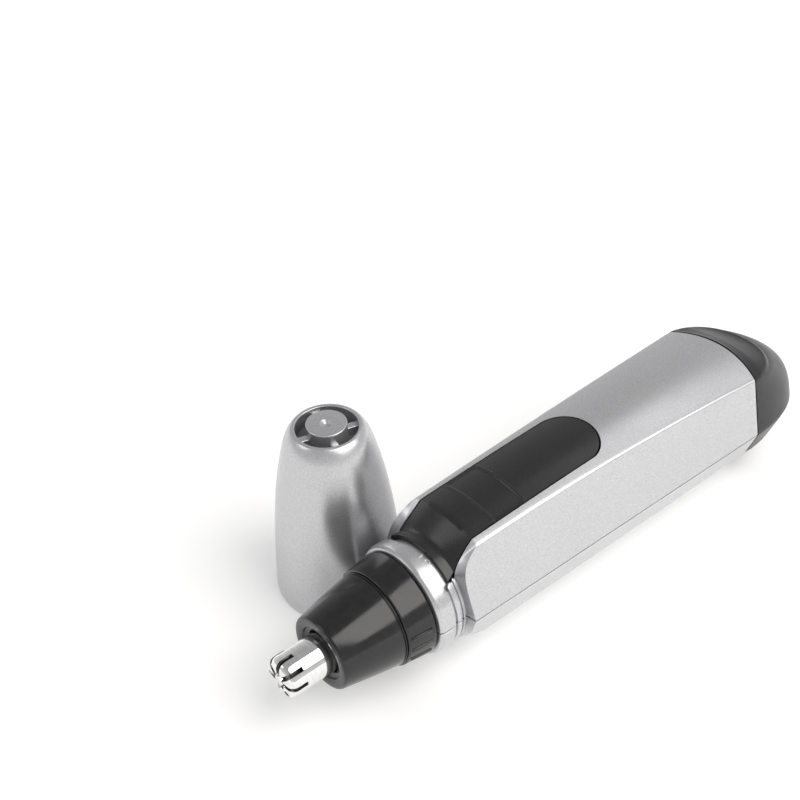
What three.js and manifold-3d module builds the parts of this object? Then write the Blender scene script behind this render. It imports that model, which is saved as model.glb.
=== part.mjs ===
// A battery nose hair trimmer lying on its back, with its protective cap standing beside it.
//
// Sizes are millimetres. The trimmer is modelled along +X from the tip of its cutter (x = 0) to
// its tail, with its long axis on y = 0, z = 0. One group then lifts it so that its underside
// rests on the surface z = 0 and the middle of that rest flat is the origin.
import * as THREE from 'three';
import { mergeVertices } from 'three/addons/utils/BufferGeometryUtils.js';
import Module from 'manifold-3d';

const wasm = await Module();
wasm.setup();

// ---------------------------------------------------------------- driving dimensions

// Lengths along the trimmer, from the cutter tip backwards
const CUTTER_REACH = 9.3;
const CONE_LENGTH = 12.7;
const RING_LENGTH = 6.2;
const NECK_LENGTH = 6.8;
const SIDE_LENGTH = 78.9;
const TAIL_LENGTH = 20.8;

// Radii of the round front end
const CUTTER_RADIUS = 4.05;
const CONE_FRONT_RADIUS = 7.5;
const CONE_REAR_RADIUS = 9.7;
const RING_FRONT_RADIUS = 10.15;
const RING_REAR_RADIUS = 10.85;
const NECK_RADIUS = 11.6;

// Motor
const MOTOR_RADIUS = 10.0;
const MOTOR_HALF_HEIGHT = 7.7;
const MOTOR_CAN_LENGTH = 22.5;
const MOTOR_CAP_LENGTH = 4.0;
const MOTOR_WALL = 0.6;
const MOTOR_SETBACK = 5.5;
const SHAFT_RADIUS = 1.0;
const ARMATURE_RADIUS = 6.5;
const ARMATURE_LENGTH = 12;

// Battery: one AA cell
const CELL_RADIUS = 7.25;
const CELL_LENGTH = 50.5;
const NUB_RADIUS = 2.75;
const NUB_LENGTH = 1.2;

// The six-sided body section: widest at the seam, with a crowned face above and below. Its front
// gives the motor room, its middle and rear give the cell room.
const SIDE_ROOM = { front: 3.4, middle: 6.5, rear: 6.85 };
const TOP_ROOM = { front: 3.2, middle: 6.75, rear: 5.85 };
const FACET_LEAN = { front: 4.65, middle: 4.0, rear: 2.4 };
const TOP_CROWN = 1.7;
const UNDER_LEAN = { front: 2.4, middle: 2.55, rear: 2.7 };
const UNDER_ROOM = { front: -3.0, middle: -0.35, rear: -0.65 };
const UNDER_CROWN = 9.5;
const UNDER_POWER = 1.5;
const REST_FLAT_DEPTH = 1.2;
const SHOULDER_AT_SEAM = 0.15;
const SHOULDER_AT_CREASE = 4.8;
const REAR_EDGE_ARCH = 2.5;

// Walls and gaps
const GAP = 0.3;
const SHELL_WALL = 1.7;
const HEAD_WALL = 1.35;
const CUTTER_WALL = 0.45;
const SEAM_GAP = 0.3;

// Slide switch panel, the lowered land in front of it and the black bed it runs on
const PANEL_FRONT = 31.4;
const PANEL_REAR = 77.6;
const PANEL_HALF = 7.3;
const PANEL_FLARE = 9.3;
const PANEL_TIP = 6;
const SWITCH_TRAVEL = 1.7;
const LAND_LENGTH = 2.6;
const PANEL_SINK = 0.1;
const PANEL_THICKNESS = 1.8;
const LIP_THICKNESS = 0.65;
const BED_THICKNESS = 1.0;

// Cutter slots
const SLOT_COUNT = 8;
const SLOT_WIDTH = 0.75;
const SLOT_LENGTH = 3.6;
const CUTTER_HUB_RADIUS = 1.1;

// Bayonet between the head and the nose of the chassis
const NOSE_RADIUS = 8.9;
const LUG_HEIGHT = 0.55;
const LUG_HALF_ANGLE = 9;
const TWIST_ANGLE = 35;

// Battery cover
const SKIRT_LENGTH = 8;
const SKIRT_WALL = 1.3;
const SKIRT_EASE = 0.3;
const COVER_CELL_ROOM = 1.95;
const COVER_END_WALL = 7.0;
const UNDER_TAIL_RISE = 4.9;
const THUMB_FACE_LENGTH = 11.8;
const UNDER_FACE_LENGTH = 13.5;
const TAIL_BELLY = 2.8;
const UNDER_BELLY = 1.0;
const THUMB_FACE_DROP = 1.6;
const THUMB_FACE_HOLLOW = 0.7;

// Protective cap
const CAP_HEIGHT = 40;
const CAP_WALL = 1.0;
const CAP_BASE_RADIUS = 12.9;
const CAP_WIDEST_RADIUS = 13.1;
const CAP_TOP_RADIUS = 6.7;
const VENT_RADIUS = 6.1;
const VENT_DISC_RADIUS = 4.0;
const VENT_SPOKES = 4;
const VENT_TURN = -18;
const VENT_DEPTH = 3.4;
const VENT_DISC_RISE = 0.8;
const CAP_SHOULDER = 2.8;
const CAP_RIM = 1.2;
const CAP_TAPER = 2.0;
const CAP_NOSE = 2.56;
const CAP_POSITION = { x: 33.0, y: 25.4 };

// ---------------------------------------------------------------- stations worked out from them

const CONE_FRONT = CUTTER_REACH;
const RING_FRONT = CONE_FRONT + CONE_LENGTH;
const HEAD_REAR = RING_FRONT + RING_LENGTH;
const NECK_FRONT = HEAD_REAR + GAP;
const NECK_END = NECK_FRONT + NECK_LENGTH;
const SIDE_END = NECK_END + SIDE_LENGTH;
const TAIL_END = SIDE_END + TAIL_LENGTH;
const CREASE_START = NECK_END + SHOULDER_AT_CREASE;
const REST_CENTRE = (CREASE_START + SIDE_END) / 2;
const SEAM_HALF = {
  front: MOTOR_RADIUS + SIDE_ROOM.front,
  middle: CELL_RADIUS + SIDE_ROOM.middle,
  rear: CELL_RADIUS + SIDE_ROOM.rear,
};
const CREASE_HALF = {
  front: SEAM_HALF.front - FACET_LEAN.front,
  middle: SEAM_HALF.middle - FACET_LEAN.middle,
  rear: SEAM_HALF.rear - FACET_LEAN.rear,
};
const CREASE_HEIGHT = {
  front: MOTOR_RADIUS + TOP_ROOM.front,
  middle: CELL_RADIUS + TOP_ROOM.middle,
  rear: CELL_RADIUS + TOP_ROOM.rear,
};
const UNDER_HALF = {
  front: SEAM_HALF.front - UNDER_LEAN.front,
  middle: SEAM_HALF.middle - UNDER_LEAN.middle,
  rear: SEAM_HALF.rear - UNDER_LEAN.rear,
};
const UNDER_HEIGHT = {
  front: MOTOR_RADIUS + UNDER_ROOM.front,
  middle: CELL_RADIUS + UNDER_ROOM.middle,
  rear: CELL_RADIUS + UNDER_ROOM.rear,
};
const AXIS_HEIGHT = UNDER_HEIGHT.middle + UNDER_CROWN - REST_FLAT_DEPTH;
const BED_INSET = PANEL_SINK + PANEL_THICKNESS + GAP;
const CHASSIS_INSET = BED_INSET + BED_THICKNESS + GAP;
const CAVITY_END = TAIL_END - COVER_END_WALL;
const MOTOR_FRONT = NECK_END + MOTOR_SETBACK;
const MOTOR_CAN_END = MOTOR_FRONT + MOTOR_CAN_LENGTH;
const MOTOR_END = MOTOR_CAN_END + MOTOR_CAP_LENGTH;
const WIRING_SPACE = 2.5;
const BULKHEAD = MOTOR_END + WIRING_SPACE;
const BULKHEAD_THICKNESS = 1.2;
const CONTACT_THICKNESS = 0.4;
const CONTACT_PLATE = BULKHEAD + BULKHEAD_THICKNESS + GAP;
const CELL_FRONT = CONTACT_PLATE + CONTACT_THICKNESS + GAP;
const CELL_END = CELL_FRONT + CELL_LENGTH;
const DEGREE = Math.PI / 180;

// ---------------------------------------------------------------- materials

function material(hex, roughness, metalness) {
  return new THREE.MeshStandardMaterial({ color: hex, roughness, metalness });
}

const SILVER = material(0xc9cacc, 0.38, 0.55);
const BLACK_GLOSS = material(0x17171a, 0.16, 0.0);
const BLACK_SATIN = material(0x262629, 0.35, 0.0);
const DARK_GREY = material(0x34353a, 0.42, 0.0);
const STEEL = material(0xd4d6d8, 0.16, 1.0);
const CHASSIS_WHITE = material(0xd9d7cf, 0.6, 0.0);
const COPPER = material(0xb87345, 0.35, 1.0);
const NICKEL = material(0xb9bbbd, 0.3, 1.0);
const MAGNET = material(0x3d3b3a, 0.8, 0.1);
const CELL_LABEL = material(0x3b6f4a, 0.45, 0.1);

// ---------------------------------------------------------------- solids

function weld(geometry) {
  const bare = geometry.clone();
  bare.deleteAttribute('normal');
  bare.deleteAttribute('uv');
  return mergeVertices(bare, 1e-5);
}

function triangleVolume(positions, a, b, c) {
  const pa = new THREE.Vector3().fromArray(positions, 3 * a);
  const pb = new THREE.Vector3().fromArray(positions, 3 * b);
  const pc = new THREE.Vector3().fromArray(positions, 3 * c);
  return pa.dot(pb.cross(pc)) / 6;
}

// Turns a closed geometry into a manifold solid whose faces point outwards.
function solid(geometry) {
  const welded = weld(geometry);
  const vertProperties = new Float32Array(welded.attributes.position.array);
  const kept = [];
  let volume = 0;
  const index = welded.index.array;
  for (let i = 0; i < index.length; i += 3) {
    const [a, b, c] = [index[i], index[i + 1], index[i + 2]];
    if (a !== b && b !== c && c !== a) {
      kept.push([a, b, c]);
      volume += triangleVolume(vertProperties, a, b, c);
    }
  }
  const ordered = volume > 0 ? kept : kept.map(([a, b, c]) => [a, c, b]);
  const triVerts = new Uint32Array(ordered.flat());
  return new wasm.Manifold(new wasm.Mesh({ numProp: 3, vertProperties, triVerts }));
}

function toGeometry(manifold) {
  const mesh = manifold.getMesh();
  const geometry = new THREE.BufferGeometry();
  geometry.setAttribute('position', new THREE.BufferAttribute(mesh.vertProperties, 3));
  geometry.setIndex(new THREE.BufferAttribute(mesh.triVerts, 1));
  return geometry;
}

function union(...pieces) {
  return pieces.reduce((sum, piece) => sum.add(piece));
}

// A box between two corners.
function box(x0, x1, y0, y1, z0, z1) {
  const geometry = new THREE.BoxGeometry(x1 - x0, y1 - y0, z1 - z0);
  geometry.translate((x0 + x1) / 2, (y0 + y1) / 2, (z0 + z1) / 2);
  return solid(geometry);
}

// A body turned about the X axis from a closed outline of [x, radius] points.
function turned(outline, segments = 36) {
  const closed = [...outline, outline[0]];
  const points = closed.map(([x, radius]) => new THREE.Vector2(radius, x));
  const geometry = new THREE.LatheGeometry(points, segments);
  geometry.rotateZ(-Math.PI / 2);
  return solid(geometry);
}

function rod(x0, x1, radius, segments = 24) {
  return turned([[x0, 0], [x0, radius], [x1, radius], [x1, 0]], segments);
}

function tube(x0, x1, outer, inner, segments = 24) {
  return turned([[x0, inner], [x0, outer], [x1, outer], [x1, inner]], segments);
}

// A flat outline in the XY plane, raised from z0 to z1.
function raised(shape, z0, z1, curveSegments = 10) {
  const options = { depth: z1 - z0, bevelEnabled: false, curveSegments };
  const geometry = new THREE.ExtrudeGeometry(shape, options);
  geometry.translate(0, 0, z0);
  return solid(geometry);
}

// A pie slice about the X axis, centred on an angle measured from +Y towards +Z.
function wedge(x0, x1, radius, centre, halfAngle) {
  const shape = new THREE.Shape();
  const from = (centre - halfAngle) * DEGREE;
  const to = (centre + halfAngle) * DEGREE;
  shape.moveTo(0, 0);
  shape.absarc(0, 0, radius, from, to, false);
  shape.lineTo(0, 0);
  const curveSegments = Math.max(2, Math.ceil(halfAngle / 6));
  const options = { depth: x1 - x0, bevelEnabled: false, curveSegments };
  const geometry = new THREE.ExtrudeGeometry(shape, options);
  geometry.rotateX(Math.PI / 2);
  geometry.rotateZ(Math.PI / 2);
  geometry.translate(x0, 0, 0);
  return solid(geometry);
}

// A closed skin through rings that all have the same number of points.
function loft(rings, closeRear = true) {
  const count = rings[0].length;
  const positions = rings.flat().flatMap((p) => [p.x, p.y, p.z]);
  const index = [];
  for (let r = 0; r + 1 < rings.length; r += 1) {
    for (let i = 0; i < count; i += 1) {
      const j = (i + 1) % count;
      const [a, b, c, d] = [r * count + i, r * count + j, (r + 1) * count + i, (r + 1) * count + j];
      index.push(a, b, d, a, d, c);
    }
  }
  const fan = (ring, flip) => {
    const middle = positions.length / 3;
    const centre = new THREE.Vector3();
    rings[ring].forEach((p) => centre.addScaledVector(p, 1 / count));
    positions.push(centre.x, centre.y, centre.z);
    for (let i = 0; i < count; i += 1) {
      const a = ring * count + i;
      const b = ring * count + ((i + 1) % count);
      index.push(...(flip ? [middle, b, a] : [middle, a, b]));
    }
  };
  fan(0, true);
  if (closeRear) fan(rings.length - 1, false);
  const geometry = new THREE.BufferGeometry();
  geometry.setAttribute('position', new THREE.Float32BufferAttribute(positions, 3));
  geometry.setIndex(index);
  return solid(geometry);
}

// A coil spring along X.
function coil(x0, x1, radius, wire, turns, sides = 4, stepsPerTurn = 9) {
  const points = [];
  const steps = turns * stepsPerTurn;
  for (let i = 0; i <= steps; i += 1) {
    const angle = (2 * Math.PI * i) / stepsPerTurn;
    const x = x0 + wire / 2 + ((x1 - x0 - wire) * i) / steps;
    points.push(new THREE.Vector3(x, radius * Math.cos(angle), radius * Math.sin(angle)));
  }
  const path = new THREE.CatmullRomCurve3(points);
  const section = new THREE.Shape();
  section.absarc(0, 0, wire / 2, 0, 2 * Math.PI, false);
  const options = { steps, extrudePath: path, curveSegments: Math.ceil(sides / 2) };
  return solid(new THREE.ExtrudeGeometry(section, options));
}

// ---------------------------------------------------------------- the body section

const FACET_STEPS = 4;
const CROWN_STEPS = 4;

// A smooth value along the body from its front, middle and rear values.
function along(size, f) {
  const front = size.front * (1 - f) * (1 - 2 * f);
  const middle = 4 * size.middle * f * (1 - f);
  return front + middle + size.rear * f * (2 * f - 1);
}

// The places round one ring: which side, and how far up the facet or across the crown.
function ringPlaces() {
  const quarter = [];
  for (let i = 0; i < FACET_STEPS; i += 1) quarter.push({ facet: i / FACET_STEPS, crown: 0 });
  for (let i = 0; i < CROWN_STEPS; i += 1) quarter.push({ facet: 1, crown: i / CROWN_STEPS });
  const places = [];
  const sides = [[1, 1], [-1, 1], [-1, -1], [1, -1]];
  sides.forEach(([y, z], turn) => {
    const end = { facet: 1, crown: 1 };
    const forward = turn % 2 === 0;
    const run = forward ? quarter : [...quarter.slice(1), end].reverse();
    run.forEach((place) => places.push({ ...place, y, z }));
  });
  return places;
}

const PLACES = ringPlaces();

// How far the crown has risen at this place, from 0 at the crease to 1 on the centre line.
function crownRise(place) {
  return 1 - (1 - place.crown) ** (place.z > 0 ? 2 : UNDER_POWER);
}

// The point of the flat-sided section at station x, drawn in by the given inset.
function facetPoint(place, x, inset) {
  const f = (x - CREASE_START) / (SIDE_END - CREASE_START);
  const seamHalf = along(SEAM_HALF, f) - inset;
  const top = place.z > 0;
  const creaseHalf = along(top ? CREASE_HALF : UNDER_HALF, f) - 0.55 * inset;
  const creaseHeight = along(top ? CREASE_HEIGHT : UNDER_HEIGHT, f) - inset;
  const crown = top ? TOP_CROWN : UNDER_CROWN - 0.6 * inset;
  const facetY = seamHalf + (creaseHalf - seamHalf) * place.facet;
  const y = place.facet < 1 ? facetY : creaseHalf * (1 - place.crown);
  const z = place.facet < 1 ? creaseHeight * place.facet : creaseHeight + crown * crownRise(place);
  return new THREE.Vector3(x, place.y * y, place.z * z);
}

// The same place on the round neck.
function neckPoint(place, x, radius) {
  const [height, half] = place.z > 0 ? [CREASE_HEIGHT, CREASE_HALF] : [UNDER_HEIGHT, UNDER_HALF];
  const creaseAngle = Math.atan2(height.front, half.front);
  const angle = place.facet * creaseAngle + place.crown * (Math.PI / 2 - creaseAngle);
  const y = place.y * radius * Math.cos(angle);
  return new THREE.Vector3(x, y, place.z * radius * Math.sin(angle));
}

function shoulderLength(place) {
  return SHOULDER_AT_SEAM + (SHOULDER_AT_CREASE - SHOULDER_AT_SEAM) * place.facet ** 6.5;
}

function rearArch(place) {
  return place.facet < 1 ? 0 : REAR_EDGE_ARCH * (1 - (1 - place.crown) ** 2);
}

// Neck profile: a front bevel, a wide band, a groove, and a second band before the shoulder.
const BAND_END = NECK_FRONT + 0.53 * NECK_LENGTH;
const GROOVE_DEPTH = 0.4;
const NECK_PROFILE = [
  [NECK_FRONT, NECK_RADIUS - 0.7],
  [NECK_FRONT + 0.55, NECK_RADIUS - 0.05],
  [BAND_END, NECK_RADIUS],
  [BAND_END + 0.1, NECK_RADIUS - GROOVE_DEPTH],
  [BAND_END + 0.5, NECK_RADIUS - GROOVE_DEPTH],
  [BAND_END + 0.6, NECK_RADIUS - 0.1],
  [NECK_END - 0.9, NECK_RADIUS - 0.1],
  [NECK_END - 0.8, NECK_RADIUS - GROOVE_DEPTH],
  [NECK_END - 0.3, NECK_RADIUS - GROOVE_DEPTH],
];

// The outside of neck and body, or a copy of it drawn in by an inset for whatever lies inside.
function bodySkin(inset, rearStretch = 0) {
  const rows = inset === 0 ? 10 : 5;
  const profile = inset === 0 ? NECK_PROFILE : [[NECK_FRONT - 1, NECK_RADIUS]];
  const rings = profile.map(([x, radius]) => PLACES.map((p) => neckPoint(p, x, radius - inset)));
  rings.push(PLACES.map((p) => neckPoint(p, NECK_END + inset, NECK_RADIUS - inset)));
  for (let row = 0; row <= rows; row += 1) {
    rings.push(PLACES.map((place) => {
      const start = NECK_END + inset + shoulderLength(place);
      const end = SIDE_END + rearArch(place) + rearStretch;
      return facetPoint(place, start + ((end - start) * row) / rows, inset);
    }));
  }
  return loft(rings);
}

// Longer than the whole trimmer, for cutting slabs and half spaces
const BIG = TAIL_END;
const outerSkin = bodySkin(0);
const wallSkin = bodySkin(SHELL_WALL, 3);
const liningSkin = bodySkin(SHELL_WALL + GAP, 1);

// ---------------------------------------------------------------- slide switch panel

// Plan outline of the panel opening, drawn larger or smaller by grow.
function panelOutline(front, rear, grow) {
  const half = PANEL_HALF + grow;
  const flare = PANEL_FLARE + grow;
  const waist = PANEL_FRONT + 8;
  const roundStart = rear - PANEL_TIP;
  const shape = new THREE.Shape();
  shape.moveTo(front, -flare);
  shape.bezierCurveTo(front + 2.6, -half - 0.7, front + 5, -half, waist, -half);
  shape.lineTo(roundStart, -half);
  shape.absellipse(roundStart, 0, PANEL_TIP, half, -Math.PI / 2, Math.PI / 2, false);
  shape.lineTo(waist, half);
  shape.bezierCurveTo(front + 5, half, front + 2.6, half + 0.7, front, flare);
  shape.lineTo(front, -flare);
  return shape;
}

function abovePlan(shape) {
  return raised(shape, 1, BIG / 2);
}

const POST_FRONT = PANEL_FRONT + 20;
const POST_LENGTH = 3.5;
const POST_HALF = 2;
const BRIDGE_DEPTH = 2.6;
const BRIDGE_TOP = CREASE_HEIGHT.front - BRIDGE_DEPTH;
const BRIDGE_LENGTH = 8;
const BRIDGE_HALF = 3;
const BRIDGE_LEAD = 2.2;
const LAND_END = PANEL_FRONT + LAND_LENGTH;
const LAND_DEPTH = PANEL_SINK + LIP_THICKNESS + GAP;
const SLIDER_FRONT = PANEL_FRONT + SWITCH_TRAVEL + GAP;
const LIP_END = LAND_END + SWITCH_TRAVEL + GAP;

function switchSlider() {
  const plan = abovePlan(panelOutline(PANEL_FRONT, PANEL_REAR - GAP, -GAP));
  const behindFront = box(SLIDER_FRONT, BIG + PANEL_REAR, -BIG, BIG, 0, BIG);
  const top = bodySkin(PANEL_SINK).intersect(plan).intersect(behindFront);
  const plate = top.subtract(bodySkin(PANEL_SINK + PANEL_THICKNESS, 1));
  const undercut = box(0, LIP_END, -BIG, BIG, 0, BIG).intersect(bodySkin(PANEL_SINK + LIP_THICKNESS, 1));
  const postTop = box(POST_FRONT, POST_FRONT + POST_LENGTH, -POST_HALF, POST_HALF, BRIDGE_TOP + GAP, BIG);
  const post = postTop.intersect(bodySkin(PANEL_SINK + PANEL_THICKNESS - 0.4));
  return union(plate.subtract(undercut), post);
}

function sliderBed() {
  const behindLand = box(LAND_END + GAP, BIG + PANEL_REAR, -BIG, BIG, 0, BIG);
  const plan = abovePlan(panelOutline(PANEL_FRONT, PANEL_REAR + 1.2, -GAP)).intersect(behindLand);
  const bed = bodySkin(BED_INSET).subtract(bodySkin(BED_INSET + BED_THICKNESS, 1)).intersect(plan);
  const slotFront = POST_FRONT - SWITCH_TRAVEL - GAP;
  const slotEnd = POST_FRONT + POST_LENGTH + GAP;
  const slot = box(slotFront, slotEnd, -POST_HALF - GAP, POST_HALF + GAP, 0, BIG);
  const motorRoom = motorSection(MOTOR_FRONT - GAP, MOTOR_END + GAP, -GAP);
  return bed.subtract(union(slot, motorRoom));
}

function switchBridge() {
  const front = POST_FRONT - BRIDGE_LEAD;
  const bottom = BRIDGE_TOP - CONTACT_THICKNESS;
  return box(front, front + BRIDGE_LENGTH, -BRIDGE_HALF, BRIDGE_HALF, bottom, BRIDGE_TOP);
}

const STRIP_TOP = BRIDGE_TOP - CONTACT_THICKNESS - GAP;
const STRIP_BOTTOM = STRIP_TOP - CONTACT_THICKNESS;
const TERMINAL_INSET = 4;
const TERMINAL_Y = MOTOR_RADIUS - TERMINAL_INSET;
const TERMINAL_LENGTH = 2;

// ---------------------------------------------------------------- shells

function shells() {
  const wall = outerSkin.subtract(wallSkin);
  const panel = abovePlan(panelOutline(PANEL_FRONT, PANEL_REAR, 0));
  const land = panel.subtract(bodySkin(LAND_DEPTH, 1));
  const opening = panel.intersect(box(LAND_END, 2 * BIG, -BIG, BIG, 0, BIG));
  const upper = wall.intersect(box(0, 2 * BIG, -BIG, BIG, SEAM_GAP / 2, BIG)).subtract(union(land, opening));
  const lowerHalf = wall.intersect(box(0, 2 * BIG, -BIG, BIG, -AXIS_HEIGHT, -SEAM_GAP / 2));
  return { upper, lower: lowerHalf };
}

// ---------------------------------------------------------------- head

const CUTTER_FLANGE = CONE_FRONT + 2.2;
const CUTTER_FLANGE_RADIUS = CUTTER_RADIUS + 1.4;
const CUTTER_FLANGE_THICKNESS = 1.0;
const HEAD_CAVITY_RADIUS = CONE_FRONT_RADIUS + 0.45 - HEAD_WALL;
const HEAD_SOCKET_RADIUS = NOSE_RADIUS + 0.25;
const NOSE_FRONT = RING_FRONT + 1;
const LUG_FRONT = NOSE_FRONT + 2;
const LUG_LENGTH = 1.2;
const NOSE_BORE = 5.2;

const RIB_SPACING = 16;

function ringOfRibs(side) {
  const ribs = [-RIB_SPACING, 0, RIB_SPACING].map((offset) => {
    const rib = wedge(RING_FRONT + 0.5, HEAD_REAR - 0.9, RING_REAR_RADIUS + 0.25, side + offset, 3.5);
    return rib.subtract(rod(0, HEAD_REAR + 1, RING_FRONT_RADIUS - 0.4));
  });
  return union(...ribs);
}

function headFrame() {
  const edge = 0.6;
  const frame = turned([
    [CONE_FRONT + 0.6, CUTTER_RADIUS + GAP],
    [CONE_FRONT + 0.6, CUTTER_RADIUS + 1.2],
    [CONE_FRONT, CUTTER_RADIUS + 1.4],
    [CONE_FRONT, CONE_FRONT_RADIUS - edge],
    [CONE_FRONT + 0.3 * edge, CONE_FRONT_RADIUS - 0.3 * edge],
    [CONE_FRONT + edge, CONE_FRONT_RADIUS],
    [RING_FRONT - 0.3, CONE_REAR_RADIUS],
    [RING_FRONT, CONE_REAR_RADIUS + 0.05],
    [RING_FRONT + 0.1, RING_FRONT_RADIUS - 0.2],
    [RING_FRONT + 0.5, RING_FRONT_RADIUS],
    [HEAD_REAR - 0.3, RING_REAR_RADIUS],
    [HEAD_REAR, RING_REAR_RADIUS - 0.25],
    [HEAD_REAR, HEAD_SOCKET_RADIUS],
    [NOSE_FRONT - GAP, HEAD_SOCKET_RADIUS],
    [NOSE_FRONT - GAP - 1, HEAD_CAVITY_RADIUS + 1],
    [RING_FRONT - 1.5, HEAD_CAVITY_RADIUS + 0.6],
    [CUTTER_FLANGE - GAP, HEAD_CAVITY_RADIUS],
    [CUTTER_FLANGE - GAP, CUTTER_RADIUS + GAP],
  ], 36);
  const grooveFront = LUG_FRONT - GAP;
  const grooveEnd = LUG_FRONT + LUG_LENGTH + GAP;
  const reach = NOSE_RADIUS + LUG_HEIGHT + 0.25;
  const cuts = [0, 180].map((lug) => {
    const sweep = LUG_HALF_ANGLE + 2 + TWIST_ANGLE / 2;
    const groove = wedge(grooveFront, grooveEnd, reach, lug - TWIST_ANGLE / 2, sweep);
    const entry = wedge(grooveFront, HEAD_REAR + 1, reach, lug - TWIST_ANGLE, LUG_HALF_ANGLE + 2);
    return union(groove, entry);
  });
  return union(frame, ringOfRibs(186), ringOfRibs(6)).subtract(union(...cuts));
}

function cutterOutline(radius, front, rear) {
  const dome = 1.5;
  const points = [[front, 0], [front, radius - dome]];
  for (let i = 1; i <= 3; i += 1) {
    const angle = (i / 3) * (Math.PI / 2);
    const x = front + dome * (1 - Math.cos(angle));
    points.push([x, radius - dome + dome * Math.sin(angle)]);
  }
  return [...points, [rear, radius], [rear, 0]];
}

function outerCutter() {
  const inner = CUTTER_RADIUS - CUTTER_WALL;
  const flangeEnd = CUTTER_FLANGE + CUTTER_FLANGE_THICKNESS;
  const body = turned(cutterOutline(CUTTER_RADIUS, 0, flangeEnd), 32);
  const flange = rod(CUTTER_FLANGE, flangeEnd, CUTTER_FLANGE_RADIUS);
  const bore = turned(cutterOutline(inner, CUTTER_WALL, flangeEnd + 1), 32);
  let cutter = union(body, flange).subtract(bore);
  const step = (2 * Math.PI) / SLOT_COUNT;
  for (let i = 0; i < SLOT_COUNT; i += 1) {
    const slot = new THREE.BoxGeometry(SLOT_LENGTH + 1, CUTTER_RADIUS + 1, SLOT_WIDTH);
    const outward = CUTTER_HUB_RADIUS + (CUTTER_RADIUS + 1) / 2;
    slot.translate((SLOT_LENGTH - 1) / 2, outward, 0);
    slot.rotateX(i * step);
    cutter = cutter.subtract(solid(slot));
  }
  return cutter;
}

function cutterRetainer() {
  const front = CUTTER_FLANGE + CUTTER_FLANGE_THICKNESS + GAP;
  return tube(front, front + 1.8, HEAD_CAVITY_RADIUS - GAP, CUTTER_RADIUS + 0.6);
}

// ---------------------------------------------------------------- rotor

const BLADE_FRONT = CUTTER_WALL + GAP;
const BLADE_END = BLADE_FRONT + 5.2;
const BLADE_RADIUS = CUTTER_RADIUS - CUTTER_WALL - GAP;
const SPINDLE_RADIUS = 1.2;
const SPINDLE_FRONT = BLADE_FRONT + 0.6;
const COLLAR = CUTTER_FLANGE + 4.5;
const COUPLING_FLANGE = NOSE_FRONT + 2;
const FORK_END = COUPLING_FLANGE - 1.3;
const FORK_RADIUS = 2.8;
const COUPLING_END = COUPLING_FLANGE + 5;

function innerCutter() {
  const hub = rod(BLADE_FRONT + 1, BLADE_END + 1.5, 2.1, 24);
  const blades = [0, 90].map((angle) => {
    const blade = new THREE.BoxGeometry(BLADE_END - BLADE_FRONT, 2 * BLADE_RADIUS, 0.8);
    blade.translate((BLADE_END + BLADE_FRONT) / 2, 0, 0);
    blade.rotateX(angle * DEGREE);
    return solid(blade);
  });
  const envelope = turned(cutterOutline(BLADE_RADIUS, BLADE_FRONT, BLADE_END + 2), 24);
  const bore = rod(SPINDLE_FRONT - GAP, BLADE_END + 2, SPINDLE_RADIUS + GAP, 24);
  return union(hub, ...blades).intersect(envelope).subtract(bore);
}

function cutterSpindle() {
  const body = turned([
    [SPINDLE_FRONT, 0],
    [SPINDLE_FRONT, SPINDLE_RADIUS],
    [BLADE_END + 2, SPINDLE_RADIUS],
    [BLADE_END + 2, 1.8],
    [COLLAR, 1.8],
    [COLLAR, 4.0],
    [COLLAR + 1, 4.0],
    [COLLAR + 1, FORK_RADIUS],
    [FORK_END, FORK_RADIUS],
    [FORK_END, 0],
  ], 24);
  const slot = box(FORK_END - 4, FORK_END + 1, -1, 1, -BIG, BIG);
  return body.subtract(slot);
}

function driveCoupling() {
  const body = turned([
    [COUPLING_FLANGE, 0],
    [COUPLING_FLANGE, 4.0],
    [COUPLING_FLANGE + 1, 4.0],
    [COUPLING_FLANGE + 1, 2.7],
    [COUPLING_END, 2.7],
    [COUPLING_END, 0],
  ], 24);
  const tongue = box(FORK_END - 3, COUPLING_FLANGE + 0.2, -0.65, 0.65, -2.1, 2.1);
  const bore = rod(COUPLING_FLANGE + 1.2, COUPLING_END + 1, SHAFT_RADIUS + GAP, 24);
  return union(body, tongue).subtract(bore);
}

// ---------------------------------------------------------------- motor

const SHAFT_FRONT = COUPLING_FLANGE + 1.5;
const SHAFT_END = MOTOR_END + 0.3;
const BEARING_RADIUS = 2.4;
const BOSS_RADIUS = 3.4;
const ARMATURE_FRONT = MOTOR_FRONT + 4.5;
const COMMUTATOR_FRONT = MOTOR_CAN_END + 0.4;
const COMMUTATOR_RADIUS = 2.6;

function motorSection(x0, x1, inset) {
  const flats = MOTOR_HALF_HEIGHT - inset;
  const round = rod(x0, x1, MOTOR_RADIUS - inset, 30);
  return round.intersect(box(x0 - 1, x1 + 1, -BIG, BIG, -flats, flats));
}

function motorCan() {
  const shell = motorSection(MOTOR_FRONT, MOTOR_CAN_END, 0);
  const boss = rod(MOTOR_FRONT - 1.6, MOTOR_FRONT + 1, BOSS_RADIUS);
  const inside = motorSection(MOTOR_FRONT + MOTOR_WALL, MOTOR_CAN_END + 1, MOTOR_WALL);
  const bore = rod(MOTOR_FRONT - 3, MOTOR_FRONT + 3, BEARING_RADIUS + GAP);
  return union(shell, boss).subtract(union(inside, bore));
}

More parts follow.
